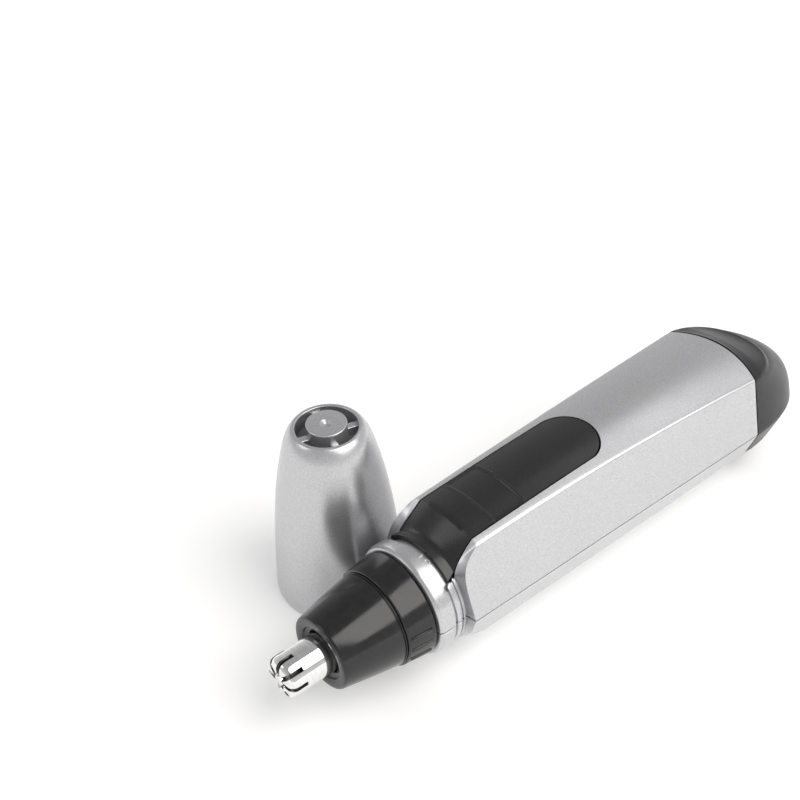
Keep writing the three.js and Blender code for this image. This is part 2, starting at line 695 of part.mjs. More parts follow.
function magnet(side) {
  const front = ARMATURE_FRONT - 1;
  const outer = MOTOR_RADIUS - MOTOR_WALL - GAP;
  const ring = tube(front, front + ARMATURE_LENGTH + 2, outer, ARMATURE_RADIUS + 0.4, 32);
  const flats = MOTOR_HALF_HEIGHT - MOTOR_WALL - GAP;
  const slab = box(0, 2 * BIG, -BIG, BIG, -flats, flats);
  return ring.intersect(wedge(0, 2 * BIG, BIG, side, 48)).intersect(slab);
}

function armature() {
  let stack = rod(ARMATURE_FRONT, ARMATURE_FRONT + ARMATURE_LENGTH, ARMATURE_RADIUS, 36);
  for (let i = 0; i < 3; i += 1) {
    const slot = new THREE.BoxGeometry(ARMATURE_LENGTH + 2, 5, 1.6);
    slot.translate(ARMATURE_FRONT + ARMATURE_LENGTH / 2, 5, 0);
    slot.rotateX((i * 2 * Math.PI) / 3);
    stack = stack.subtract(solid(slot));
  }
  const bore = rod(ARMATURE_FRONT - 1, ARMATURE_FRONT + ARMATURE_LENGTH + 1, SHAFT_RADIUS + GAP, 24);
  return stack.subtract(bore);
}

function commutator() {
  return tube(COMMUTATOR_FRONT, MOTOR_END - 1.6, COMMUTATOR_RADIUS, SHAFT_RADIUS + GAP, 24);
}

function motorEndCap() {
  const body = motorSection(MOTOR_CAN_END + GAP, MOTOR_END, 0.2);
  const cavity = rod(MOTOR_CAN_END - 1, MOTOR_END - 1.2, 6.2);
  const bore = rod(MOTOR_CAN_END, MOTOR_END + 1, BEARING_RADIUS + GAP);
  return body.subtract(union(cavity, bore));
}

function brush(side) {
  const inner = side * (COMMUTATOR_RADIUS + GAP);
  const outer = side * (COMMUTATOR_RADIUS + GAP + 0.4);
  const y = [inner, outer].sort((a, b) => a - b);
  return box(COMMUTATOR_FRONT + 0.2, MOTOR_END - 1.7, y[0], y[1], -3.5, 3.5);
}

function bearing(front, rear) {
  return tube(front, rear, BEARING_RADIUS, SHAFT_RADIUS + 0.1, 32);
}

function terminal(side) {
  const y = side * TERMINAL_Y;
  return box(MOTOR_END + GAP, MOTOR_END + GAP + TERMINAL_LENGTH, y - 1, y + 1, -0.25, 0.25);
}

// ---------------------------------------------------------------- chassis and wiring strips

const TRAY_RADIUS = CELL_RADIUS + 0.35;
const TRAY_WALL = 1.2;
const TRAY_END = SIDE_END - SKIRT_LENGTH - 2;
const RIB_COUNT = 3;
const STRIP_ROOM = 2.45;
const STRIP_FOOT_LEAD = 0.6;
const STRIP_Y = CELL_RADIUS + STRIP_ROOM;

function chassis() {
  const below = liningSkin.intersect(box(0, 2 * BIG, -BIG, BIG, -BIG, 0));
  const above = bodySkin(CHASSIS_INSET, 1).intersect(box(0, 2 * BIG, -BIG, BIG, -1, BIG));
  const envelope = union(below, above);
  const nose = tube(NOSE_FRONT, HEAD_REAR, NOSE_RADIUS, NOSE_BORE, 30);
  const core = tube(HEAD_REAR - 1, NECK_END + 1, NECK_RADIUS - CHASSIS_INSET, NOSE_BORE, 30);
  const fullCollar = tube(HEAD_REAR, NECK_END + 1, NECK_RADIUS - SHELL_WALL - GAP, NOSE_BORE, 30);
  const collar = fullCollar.intersect(box(0, BIG, -BIG, BIG, -BIG, 0));
  const lugs = [0, 180].map((angle) => {
    const lug = wedge(LUG_FRONT, LUG_FRONT + LUG_LENGTH, NOSE_RADIUS + LUG_HEIGHT, angle, LUG_HALF_ANGLE);
    return lug.subtract(rod(0, BIG, NOSE_RADIUS - 1));
  });
  const cradleBlock = envelope.intersect(box(NECK_END, MOTOR_END, -BIG, BIG, -BIG, -3));
  const cradle = cradleBlock.subtract(motorSection(MOTOR_FRONT - GAP, MOTOR_END + GAP, -GAP));
  const front = envelope.intersect(box(NECK_END, MOTOR_FRONT - GAP, -BIG, BIG, -BIG, BIG));
  const bossHole = rod(NECK_END - 1, MOTOR_FRONT, BOSS_RADIUS + GAP + 0.1);
  const spine = envelope.intersect(box(MOTOR_END - 1, BULKHEAD + 1, -BIG, BIG, -BIG, -9));
  const wall = envelope.intersect(box(BULKHEAD, BULKHEAD + BULKHEAD_THICKNESS, -BIG, BIG, -BIG, BIG));
  const notch = box(BULKHEAD - 1, BULKHEAD + 2, -2.4, 2.4, STRIP_BOTTOM - GAP, BIG);
  const sideNotch = box(BULKHEAD - 1, BULKHEAD + 2, -BIG, -STRIP_Y + CONTACT_THICKNESS + GAP, -2.4, 2.4);
  const trayTube = tube(BULKHEAD, TRAY_END, TRAY_RADIUS + TRAY_WALL, TRAY_RADIUS, 30);
  const tray = trayTube.intersect(box(0, 2 * BIG, -BIG, BIG, -BIG, -2.5));
  const ribs = [];
  const pitch = (TRAY_END - BULKHEAD - 4) / RIB_COUNT;
  for (let i = 1; i <= RIB_COUNT; i += 1) {
    const x = BULKHEAD + i * pitch;
    const slab = envelope.intersect(box(x, x + 1.2, -BIG, BIG, -BIG, -4));
    ribs.push(slab.subtract(rod(0, 2 * BIG, TRAY_RADIUS)));
  }
  const noseBody = union(nose, core, collar, ...lugs, front);
  const rear = union(wall.subtract(union(notch, sideNotch)), tray, ...ribs);
  const lightening = box(MOTOR_FRONT + 3, MOTOR_CAN_END - 3, -4, 4, -BIG, -3);
  return union(noseBody, cradle.subtract(lightening), spine, rear).subtract(bossHole);
}

function positiveContact() {
  const plate = box(CONTACT_PLATE, CONTACT_PLATE + CONTACT_THICKNESS, -4, 4, -4, 4);
  const riser = box(CONTACT_PLATE, CONTACT_PLATE + CONTACT_THICKNESS, -2, 2, 3, STRIP_TOP);
  const strip = box(POST_FRONT + 1, CONTACT_PLATE + CONTACT_THICKNESS, -2, 2, STRIP_BOTTOM, STRIP_TOP);
  return union(plate, riser, strip);
}

function motorStrip() {
  const padFront = POST_FRONT - 8;
  const padEnd = POST_FRONT - 2.6;
  const railEnd = MOTOR_END + GAP + 1.4;
  const pad = box(padFront, padEnd, -3, TERMINAL_Y + 0.8, STRIP_BOTTOM, STRIP_TOP);
  const rail = box(padFront, railEnd, TERMINAL_Y - 0.8, TERMINAL_Y + 0.8, STRIP_BOTTOM, STRIP_TOP);
  const dropFront = railEnd - CONTACT_THICKNESS;
  const drop = box(dropFront, railEnd, TERMINAL_Y - 0.8, TERMINAL_Y + 0.8, 0.25 + GAP, STRIP_TOP);
  return union(pad, rail, drop);
}

function negativeStrip() {
  const front = MOTOR_END + GAP + STRIP_FOOT_LEAD;
  const end = SIDE_END - 2;
  const strip = box(front, end, -STRIP_Y, -STRIP_Y + CONTACT_THICKNESS, -1.8, 1.8);
  const footEnd = front + CONTACT_THICKNESS;
  const foot = box(front, footEnd, -STRIP_Y, -TERMINAL_Y + 0.8, 0.25 + GAP, 1.8);
  return union(strip, foot);
}

function cell() {
  const shoulder = CELL_FRONT + NUB_LENGTH;
  return turned([
    [CELL_FRONT, 0],
    [CELL_FRONT, NUB_RADIUS],
    [shoulder, NUB_RADIUS],
    [shoulder, CELL_RADIUS - 0.5],
    [shoulder + 0.5, CELL_RADIUS],
    [CELL_END - 0.5, CELL_RADIUS],
    [CELL_END, CELL_RADIUS - 0.5],
    [CELL_END, 0],
  ], 36);
}

// ---------------------------------------------------------------- battery cover

const COVER_FRONT = SIDE_END + GAP;
const CAVITY_RADIUS = CELL_RADIUS + COVER_CELL_ROOM;
const COVER_CONTACT_EDGE = 0.6;
const COVER_CONTACT = CAVITY_END - GAP - CONTACT_THICKNESS;

// Rings from the body's rear edge round to the tail. The crown closes to a point behind the
// thumb face while the seam line runs on to the tail end.
function coverSkin() {
  const rows = 9;
  const top = { half: CREASE_HALF.rear, height: CREASE_HEIGHT.rear, crown: TOP_CROWN, belly: TAIL_BELLY };
  const under = { half: UNDER_HALF.rear, height: UNDER_HEIGHT.rear, crown: UNDER_CROWN, belly: UNDER_BELLY };
  const rings = [];
  for (let row = 0; row <= rows; row += 1) {
    const turn = (row / rows) * (Math.PI / 2);
    const reach = Math.sin(turn);
    const width = row === rows ? 0 : Math.cos(turn);
    const seamWidth = SEAM_HALF.rear * Math.sqrt(Math.max(0, 1 - reach ** 2.4));
    rings.push(PLACES.map((place) => {
      const rear = place.z > 0 ? top : under;
      const rise = place.z > 0 ? -THUMB_FACE_DROP * reach : UNDER_TAIL_RISE * reach ** 1.2;
      const height = rear.height + rise;
      const hollow = place.z > 0 ? THUMB_FACE_HOLLOW : 0;
      const crown = (rear.crown * (1 - reach) - hollow * Math.sin(2 * turn)) * crownRise(place);
      const edge = COVER_FRONT + rearArch(place) * (1 - reach);
      const seamX = COVER_FRONT + (TAIL_END - COVER_FRONT) * reach;
      const creaseX = edge + (place.z > 0 ? THUMB_FACE_LENGTH : UNDER_FACE_LENGTH) * reach;
      if (place.facet < 1) {
        const belly = rear.belly * Math.sin(Math.PI * place.facet) * reach;
        const x = seamX + (creaseX - seamX) * place.facet + belly;
        const y = seamWidth + (rear.half * width - seamWidth) * place.facet;
        return new THREE.Vector3(x, place.y * y, place.z * height * place.facet);
      }
      const y = rear.half * width * (1 - place.crown);
      return new THREE.Vector3(creaseX, place.y * y, place.z * (height + crown));
    }));
  }
  return loft(rings, false);
}

function batteryCover() {
  const skirtFront = SIDE_END - SKIRT_LENGTH;
  const outerInset = SHELL_WALL + GAP + SKIRT_EASE;
  const skirtOuter = bodySkin(outerInset, 3);
  const skirtInner = bodySkin(outerInset + SKIRT_WALL, 4);
  const skirtTube = skirtOuter.subtract(skirtInner);
  const skirt = skirtTube.intersect(box(skirtFront, COVER_FRONT + 1.5, -BIG, BIG, -BIG, BIG));
  const cavity = rod(SIDE_END - 2, CAVITY_END, CAVITY_RADIUS, 36);
  const aboveFloor = box(0, 2 * BIG, -BIG, BIG, -AXIS_HEIGHT, BIG);
  const grip = coverSkin().intersect(aboveFloor).subtract(cavity);
  return union(grip, skirt);
}

function coverContact() {
  const inner = CAVITY_RADIUS - COVER_CONTACT_EDGE;
  const plate = rod(COVER_CONTACT, COVER_CONTACT + CONTACT_THICKNESS, inner, 24);
  const tongueY = [-inner, -inner + CONTACT_THICKNESS];
  const tongueEnd = COVER_CONTACT + CONTACT_THICKNESS;
  const tongue = box(SIDE_END - 5, tongueEnd, tongueY[0], tongueY[1], -1.5, 1.5);
  return union(plate, tongue);
}

// ---------------------------------------------------------------- protective cap

// The cap's wall is turned about its own upright axis from the outside outline.
function capAt(height) {
  const flare = CAP_WIDEST_RADIUS - CAP_BASE_RADIUS;
  if (height <= CAP_RIM) return CAP_BASE_RADIUS + (flare * height) / CAP_RIM;
  const f = (height - CAP_RIM) / (CAP_HEIGHT - CAP_SHOULDER - CAP_RIM);
  return CAP_WIDEST_RADIUS - CAP_TAPER * f - CAP_NOSE * f ** 3.2;
}

function protectiveCap() {
  const shoulder = CAP_HEIGHT - CAP_SHOULDER;
  const heights = [0, CAP_RIM];
  for (let i = 1; i <= 6; i += 1) heights.push(CAP_RIM + ((shoulder - CAP_RIM) * i) / 6);
  const outside = heights.map((h) => [h, capAt(h)]);
  const shoulderRadius = capAt(shoulder);
  outside.push([shoulder + 1.4, shoulderRadius - 0.55]);
  outside.push([shoulder + 2.4, CAP_TOP_RADIUS + 0.45]);
  outside.push([CAP_HEIGHT, CAP_TOP_RADIUS]);
  const roof = CAP_HEIGHT - VENT_DEPTH;
  const inside = [[CAP_HEIGHT, VENT_RADIUS], [roof, VENT_RADIUS]];
  for (let i = 4; i >= 0; i -= 1) {
    const h = (roof * i) / 4;
    inside.push([h, capAt(h) - CAP_WALL]);
  }
  const wall = turned([...outside, ...inside], 36);
  const discTop = CAP_HEIGHT + VENT_DISC_RISE;
  const disc = turned([
    [roof, 0],
    [roof, VENT_DISC_RADIUS],
    [discTop - 0.3, VENT_DISC_RADIUS],
    [discTop, VENT_DISC_RADIUS - 0.3],
    [discTop, 0.9],
    [discTop - 0.7, 0],
  ], 28);
  const spokes = [];
  for (let i = 0; i < VENT_SPOKES; i += 1) {
    const spoke = new THREE.BoxGeometry(1.6, VENT_RADIUS - VENT_DISC_RADIUS + 1.4, 1.9);
    spoke.translate(roof + 1, (VENT_RADIUS + VENT_DISC_RADIUS) / 2, 0);
    spoke.rotateX((i * 2 * Math.PI) / VENT_SPOKES + VENT_TURN * DEGREE);
    spokes.push(solid(spoke));
  }
  return union(wall, disc, ...spokes);
}

// ---------------------------------------------------------------- assembly

const object = new THREE.Group();
const trimmer = new THREE.Group();
trimmer.position.set(-REST_CENTRE, 0, AXIS_HEIGHT);
object.add(trimmer);

function place(parent, name, manifold, look) {
  const mesh = new THREE.Mesh(toGeometry(manifold), look.clone());
  mesh.name = name;
  parent.add(mesh);
  return mesh;
}

const { upper, lower } = shells();
place(trimmer, 'upper_shell', upper, SILVER);
place(trimmer, 'lower_shell', lower, SILVER);
place(trimmer, 'slider_bed', sliderBed(), BLACK_SATIN);
place(trimmer, 'switch_slider', switchSlider(), BLACK_SATIN);
place(trimmer, 'switch_bridge', switchBridge(), COPPER);
place(trimmer, 'chassis', chassis(), CHASSIS_WHITE);

place(trimmer, 'head_frame', headFrame(), BLACK_GLOSS);
place(trimmer, 'outer_cutter', outerCutter(), STEEL);
place(trimmer, 'cutter_retainer', cutterRetainer(), BLACK_SATIN);

place(trimmer, 'inner_cutter', innerCutter(), STEEL);
place(trimmer, 'cutter_spindle', cutterSpindle(), CHASSIS_WHITE);
place(trimmer, 'cutter_spring', coil(COLLAR + 1 + GAP, COUPLING_FLANGE - GAP, 3.5, 0.5, 4), NICKEL);
place(trimmer, 'drive_coupling', driveCoupling(), CHASSIS_WHITE);
place(trimmer, 'motor_shaft', rod(SHAFT_FRONT, SHAFT_END, SHAFT_RADIUS, 24), STEEL);
place(trimmer, 'armature', armature(), MAGNET);
place(trimmer, 'commutator', commutator(), COPPER);

place(trimmer, 'motor_can', motorCan(), NICKEL);
place(trimmer, 'motor_end_cap', motorEndCap(), CHASSIS_WHITE);
place(trimmer, 'magnet_left', magnet(0), MAGNET);
place(trimmer, 'magnet_right', magnet(180), MAGNET);
place(trimmer, 'brush_left', brush(1), COPPER);
place(trimmer, 'brush_right', brush(-1), COPPER);
place(trimmer, 'front_bearing', bearing(MOTOR_FRONT - 1.4, MOTOR_FRONT + 1.2), COPPER);
place(trimmer, 'rear_bearing', bearing(MOTOR_END - 1.1, MOTOR_END - 0.1), COPPER);
place(trimmer, 'terminal_left', terminal(1), COPPER);
place(trimmer, 'terminal_right', terminal(-1), COPPER);

place(trimmer, 'positive_contact', positiveContact(), NICKEL);
place(trimmer, 'motor_strip', motorStrip(), NICKEL);
place(trimmer, 'negative_strip', negativeStrip(), NICKEL);
place(trimmer, 'battery_cell', cell(), CELL_LABEL);

place(trimmer, 'battery_cover', batteryCover(), DARK_GREY);
place(trimmer, 'cover_contact', coverContact(), NICKEL);
const springFront = CELL_END + GAP;
place(trimmer, 'battery_spring', coil(springFront, COVER_CONTACT - GAP, 4.6, 0.8, 4), NICKEL);

const cap = place(object, 'cap', protectiveCap(), SILVER);
cap.rotation.set(0, -Math.PI / 2, 0);
cap.position.set(CAP_POSITION.x - REST_CENTRE, CAP_POSITION.y, 0);

export default object;
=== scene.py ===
"""Looks for the nose hair trimmer: finer outer pieces, materials, lights and camera round the CAD frame."""

import math

import bmesh
import bpy
import numpy as np
from mathutils import Matrix, Vector


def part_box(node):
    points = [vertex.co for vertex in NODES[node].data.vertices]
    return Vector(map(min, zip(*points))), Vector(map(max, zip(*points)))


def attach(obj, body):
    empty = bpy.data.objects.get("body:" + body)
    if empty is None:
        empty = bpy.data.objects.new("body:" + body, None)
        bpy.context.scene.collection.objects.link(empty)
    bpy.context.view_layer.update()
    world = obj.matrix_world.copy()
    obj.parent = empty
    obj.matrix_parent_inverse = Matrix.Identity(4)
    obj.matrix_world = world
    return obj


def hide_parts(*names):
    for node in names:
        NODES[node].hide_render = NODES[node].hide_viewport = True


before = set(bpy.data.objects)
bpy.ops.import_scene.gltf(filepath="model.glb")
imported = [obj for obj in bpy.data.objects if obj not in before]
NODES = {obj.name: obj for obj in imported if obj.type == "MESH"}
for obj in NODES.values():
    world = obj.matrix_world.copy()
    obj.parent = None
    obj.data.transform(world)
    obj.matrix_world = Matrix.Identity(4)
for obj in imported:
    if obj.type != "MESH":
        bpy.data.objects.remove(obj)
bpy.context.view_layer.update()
MM = 0.001

# ------------------------------------------------------------------ camera
# The trimmer lies with its cutter towards the lower left; the camera looks down on it from the cutter side.
VIEW_FORWARD = Vector((0.4808, 0.6156, -0.6244)).normalized()
VIEW_RIGHT = Vector((0.7645, -0.6431, -0.0454))
VIEW_TARGET = Vector((-8.19, 48.49, 13.0)) * MM
VIEW_DISTANCE = 331.6 * MM

camera_data = bpy.data.cameras.new("camera")
camera_data.lens = 67.5
camera_data.sensor_width = 36
camera_data.clip_start = 0.01
camera_data.clip_end = 20
camera = bpy.data.objects.new("camera", camera_data)
bpy.context.scene.collection.objects.link(camera)
back = -VIEW_FORWARD
right = (VIEW_RIGHT - back * VIEW_RIGHT.dot(back)).normalized()
up = back.cross(right)
turn_to_view = Matrix((right, up, back)).transposed().to_4x4()
camera.matrix_world = Matrix.Translation(VIEW_TARGET + back * VIEW_DISTANCE) @ turn_to_view
bpy.context.scene.camera = camera

# ------------------------------------------------------------------ sizes
# In mm: x runs from the cutter tip to the battery cover, and the long axis is y = z = 0
TIP_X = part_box("outer_cutter")[0].x
AXIS_Z = sum(c.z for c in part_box("motor_shaft")) / 2
CONE_FRONT = 9.3
RING_FRONT = 22.0
HEAD_REAR = 28.2
NECK_FRONT = 28.5
NECK_END = 35.3
SHOULDER_AT_SEAM = 0.15
SHOULDER_AT_CREASE = 4.8
SHOULDER_POWER = 6.5
CREASE_START = NECK_END + SHOULDER_AT_CREASE
SIDE_END = 114.2
COVER_FRONT = 114.5
TAIL_END = 135.0
NECK_RADIUS = 11.6
SEAM_HALF = (13.4, 13.75, 14.1)
CREASE_HALF = (8.75, 9.75, 11.7)
CREASE_HEIGHT = (13.2, 14.0, 13.1)
TOP_CROWN = 1.7
UNDER_HALF = (11.0, 11.2, 11.4)
UNDER_HEIGHT = (7.0, 6.9, 6.6)
UNDER_CROWN = 9.5
UNDER_POWER = 1.5
REST_DEPTH = 15.2
SHELL_WALL = 1.7
SEAM_GAP = 0.3
GAP = 0.3
REAR_ARCH = 2.5
PANEL_FRONT = 31.4
PANEL_REAR = 77.6
PANEL_HALF = 7.3
PANEL_FLARE = 9.3
PANEL_TIP = 6.0
LAND_END = 34.0
LAND_DEPTH = 1.05
SLIDER_FRONT = 33.4
CUTTER_RADIUS = 4.05
HEAD_MOUTH_RADIUS = 4.35
RING_BORE = 9.15


def to_frame(points):
    """Station coordinates in mm to the row frame in metres."""
    out = np.array(points, float) * MM
    out[..., 0] += TIP_X
    out[..., 2] += AXIS_Z
    return out


# ------------------------------------------------------------------ mesh helpers
class Shape:
    """Collects quads from grids of points, then welds them into one mesh."""

    def __init__(self):
        self.points = []
        self.faces = []

    def grid(self, g, wrap=False):
        g = np.asarray(g, float)
        rows, cols = g.shape[:2]
        base = len(self.points)
        self.points.extend(g.reshape(-1, 3))
        for i in range(rows - 1):
            for j in range(cols if wrap else cols - 1):
                k = (j + 1) % cols
                a, b, c, d = i * cols + j, i * cols + k, (i + 1) * cols + k, (i + 1) * cols + j
                self.faces.append((base + a, base + b, base + c, base + d))
        return self

    def strip(self, one, other):
        return self.grid(np.stack([np.asarray(one, float), np.asarray(other, float)]))

    def mesh(self, name, frame_points=False):
        points = np.array(self.points) if frame_points else to_frame(self.points)
        data = bpy.data.meshes.new(name)
        bm = bmesh.new()
        made = [bm.verts.new(p) for p in points]
        for face in self.faces:
            corners = []
            for i in face:
                if made[i] not in corners:
                    corners.append(made[i])
            if len(corners) > 2:
                bm.faces.new(corners)
        bmesh.ops.remove_doubles(bm, verts=bm.verts, dist=2e-6)
        bmesh.ops.dissolve_degenerate(bm, dist=1e-7, edges=bm.edges)
        bmesh.ops.recalc_face_normals(bm, faces=bm.faces)
        for f in bm.faces:
            f.smooth = True
        bm.to_mesh(data)
        bm.free()
        return data


def piece(name, shape, body, look, bevel=None, angle=34, segments=3, replaces=(), frame_points=False):
    data = shape if isinstance(shape, bpy.types.Mesh) else shape.mesh(name, frame_points)
    obj = bpy.data.objects.new(name, data)
    bpy.context.scene.collection.objects.link(obj)
    data.materials.append(look)
    if bevel:
        m = obj.modifiers.new("edge", "BEVEL")
        m.width = bevel * MM
        m.segments = segments
        m.limit_method = "ANGLE"
        m.angle_limit = math.radians(angle)
        m.harden_normals = True
        m.use_clamp_overlap = True
    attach(obj, body)
    if replaces:
        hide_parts(*replaces)
    return obj


def rounded(outline, steps=4):
    """Outline entries are (x, r) or (x, r, fillet): corners with a fillet become short arcs."""
    out = []
    n = len(outline)
    for i, entry in enumerate(outline):
        p = np.array(entry[:2], float)
        fillet = entry[2] if len(entry) > 2 else 0
        if not fillet or i in (0, n - 1):
            out.append(p)
            continue
        before = np.array(outline[i - 1][:2], float) - p
        after = np.array(outline[i + 1][:2], float) - p
        reach = min(fillet, 0.48 * np.linalg.norm(before), 0.48 * np.linalg.norm(after))
        a = p + before / np.linalg.norm(before) * reach
        b = p + after / np.linalg.norm(after) * reach
        for k in range(steps + 1):
            t = k / steps
            out.append((1 - t) ** 2 * a + 2 * t * (1 - t) * p + t * t * b)
    return out


def turned(outline, segments=128, closed=True):
    """A lathe about the long axis from (x, radius) points."""
    pts = rounded(outline)
    if closed:
        pts = pts + [pts[0]]
    rows = []
    for x, r in pts:
        a = np.linspace(0, 2 * math.pi, segments, endpoint=False)
        rows.append(np.stack([np.full(segments, x), r * np.cos(a), r * np.sin(a)], 1))
    return Shape().grid(np.array(rows), wrap=True)


# ------------------------------------------------------------------ body section
def along(size, f):
    front, middle, rear = size
    return front * (1 - f) * (1 - 2 * f) + 4 * middle * f * (1 - f) + rear * f * (2 * f - 1)


DENSE = 72
T = np.concatenate([np.linspace(0, 1, DENSE), np.ones(DENSE - 1)])
C = np.concatenate([np.zeros(DENSE), np.linspace(0, 1, DENSE)[1:]])
SHOULDER = SHOULDER_AT_SEAM + (SHOULDER_AT_CREASE - SHOULDER_AT_SEAM) * T**SHOULDER_POWER
ARCH = np.where(T < 1, 0, REAR_ARCH * (1 - (1 - C) ** 2))
SECTION = {True: (CREASE_HALF, CREASE_HEIGHT), False: (UNDER_HALF, UNDER_HEIGHT)}


def smooth(t):
    t = np.clip(t, 0, 1)
    return t * t * (3 - 2 * t)


def flat_section(x, inset, top=True):
    f = (x - CREASE_START) / (SIDE_END - CREASE_START)
    halves, heights = SECTION[top]
    seam = along(SEAM_HALF, f) - inset
    half = along(halves, f) - 0.55 * inset
    height = along(heights, f) - inset
    if top:
        rise = TOP_CROWN * (1 - (1 - C) ** 2)
    else:
        rise = (UNDER_CROWN - 0.6 * inset) * (1 - (1 - C) ** UNDER_POWER)
    y = np.where(C > 0, half * (1 - C), seam + (half - seam) * T)
    z = np.where(C > 0, height + rise, height * T)
    return np.stack([x + 0 * T, y, z], 1)


def round_section(x, radius, top=True):
    halves, heights = SECTION[top]
    crease = math.atan2(heights[0], halves[0])
    a = T * crease + C * (math.pi / 2 - crease)
    return np.stack([x + 0 * T, radius * np.cos(a), radius * np.sin(a)], 1)


def soften(line, reach):
    """Rounds the crease of one dense section line over the given reach."""
    s = arclength(line)
    k = DENSE - 1
    a = np.array([np.interp(s[k] - reach, s, line[:, i]) for i in range(3)])
    b = np.array([np.interp(s[k] + reach, s, line[:, i]) for i in range(3)])
    near = np.abs(s - s[k]) < reach
    t = ((s[near] - s[k] + reach) / (2 * reach))[:, None]
    out = line.copy()
    out[near] = (1 - t) ** 2 * a + 2 * t * (1 - t) * line[k] + t * t * b
    return out


def arclength(line):
    return np.concatenate([[0], np.cumsum(np.linalg.norm(np.diff(line, axis=0), axis=1))])


def section(row, inset, top=True, fillet=0.55):
    """Half of one ring, from the seam up to the centre line, on the +y side."""
    kind, value, radius = row
    if kind == "neck":
        return round_section(value, (radius if inset == 0 else NECK_RADIUS) - inset, top)
    start = NECK_END + inset + SHOULDER
    if kind == "shoulder":
        neck = round_section(NECK_END + inset, NECK_RADIUS - inset, top)
        line = neck + (flat_section(start, inset, top) - neck) * value
        return soften(line, fillet * value) if value > 0.05 else line
    lead = inset * (1 - smooth((value - CREASE_START) / 20))
    begin = NECK_END + inset + SHOULDER[-1]
    g = (value + lead - begin) / (SIDE_END - begin)
    x = start + (SIDE_END - start) * g + ARCH * smooth(
        (value - PANEL_REAR - 3) / (SIDE_END - PANEL_REAR - 3),
    )
    return soften(flat_section(x, inset, top), fillet)


def at(line, s, where):
    return np.stack([np.interp(where, s, line[:, i]) for i in range(3)], 1)


STEPS = np.linspace(0, 1, 60)[:, None]


def half_width(x, front, rear, grow):
    """Half the width of the switch panel's outline at x; 0 past its rear tip."""
    half, flare, waist = PANEL_HALF + grow, PANEL_FLARE + grow, PANEL_FRONT + 8
    p = [np.array(q) for q in ((front, flare), (front + 2.6, half + 0.7), (front + 5, half), (waist, half))]
    t = STEPS
    curve = (1 - t) ** 3 * p[0] + 3 * t * (1 - t) ** 2 * p[1] + 3 * t**2 * (1 - t) * p[2] + t**3 * p[3]
    out = np.interp(x, curve[:, 0], curve[:, 1])
    e = np.clip((np.asarray(x) - (rear - PANEL_TIP)) / PANEL_TIP, 0, 1)
    return out * np.sqrt(1 - e**2)


def edge_place(line, s, front, rear, grow):
    """How far along the section the panel's outline is; the full length where there is no panel."""
    g = line[:, 1] - half_width(line[:, 0], front, rear, grow)
    inside = (g <= 1e-9) & (line[:, 0] < rear - 1e-6)
    if not inside.any():
        return s[-1]
    i = int(np.argmax(inside))
    if i == 0:
        return s[0]
    f = g[i - 1] / (g[i - 1] - g[i])
    return s[i - 1] + f * (s[i] - s[i - 1])


def spaced(*runs):
    """Runs are (from, to, count); joined without repeating the shared ends."""
    out = [np.linspace(a, b, n + 1)[1 if i else 0 :] for i, (a, b, n) in enumerate(runs)]
    return np.concatenate(out)


GROOVE_RADIUS = 10.95
NECK_OUTLINE = rounded(
    [
        (NECK_FRONT, 10.75),
        (28.62, 11.25, 0.1),
        (29.3, 11.58, 0.25),
        (32.05, NECK_RADIUS, 0.08),
        (32.15, GROOVE_RADIUS, 0.06),
        (32.62, GROOVE_RADIUS, 0.06),
        (32.74, 11.45, 0.08),
        (33.7, 11.45, 0.06),
        (33.8, GROOVE_RADIUS, 0.05),
        (34.2, GROOVE_RADIUS, 0.05),
        (34.3, 11.4, 0.07),
        (34.56, 11.4, 0.07),
        (34.66, 10.9, 0.05),
        (35.05, 10.9, 0.05),
        (NECK_END, NECK_RADIUS),
    ],
    3,
)
neck_x = [p[0] for p in NECK_OUTLINE]
neck_r = [p[1] for p in NECK_OUTLINE]
between = [("neck", x, float(np.interp(x, neck_x, neck_r))) for x in (30.0, 30.7, PANEL_FRONT, LAND_END)]
NECK_ROWS = sorted([("neck", x, r) for x, r in zip(neck_x, neck_r)] + between, key=lambda r: r[1])
SHOULDER_ROWS = [("shoulder", v, 0) for v in np.linspace(0, 1, 11)[1:]]


def body_rows(stations):
    return [("body", v, 0) for v in stations]


TIP_START = PANEL_REAR - PANEL_TIP


def tip_stations(start, count):
    """Stations along a rounded rear tip, closer together towards its end."""
    return [start + PANEL_TIP * math.sin(a) for a in np.linspace(0, math.pi / 2, count)[1:]]


SHELL_STATIONS = (
    list(spaced((CREASE_START, TIP_START, 26)))[1:]
    + tip_stations(TIP_START, 17)
    + list(spaced((PANEL_REAR, 79.5, 3), (79.5, 112, 20), (112, SIDE_END, 4)))[1:]
)
SHELL_ROWS = NECK_ROWS + SHOULDER_ROWS + body_rows(SHELL_STATIONS)


def row_at(kind, station):
    return next(i for i, r in enumerate(SHELL_ROWS) if r[0] == kind and abs(r[1] - station) < 1e-9)


PANEL_ROW = row_at("neck", PANEL_FRONT)
LAND_ROW = row_at("neck", LAND_END)
TIP_ROW = row_at("body", PANEL_REAR)


def mirrored(g, y=1, z=1):
    return np.asarray(g) * np.array([1, y, z])


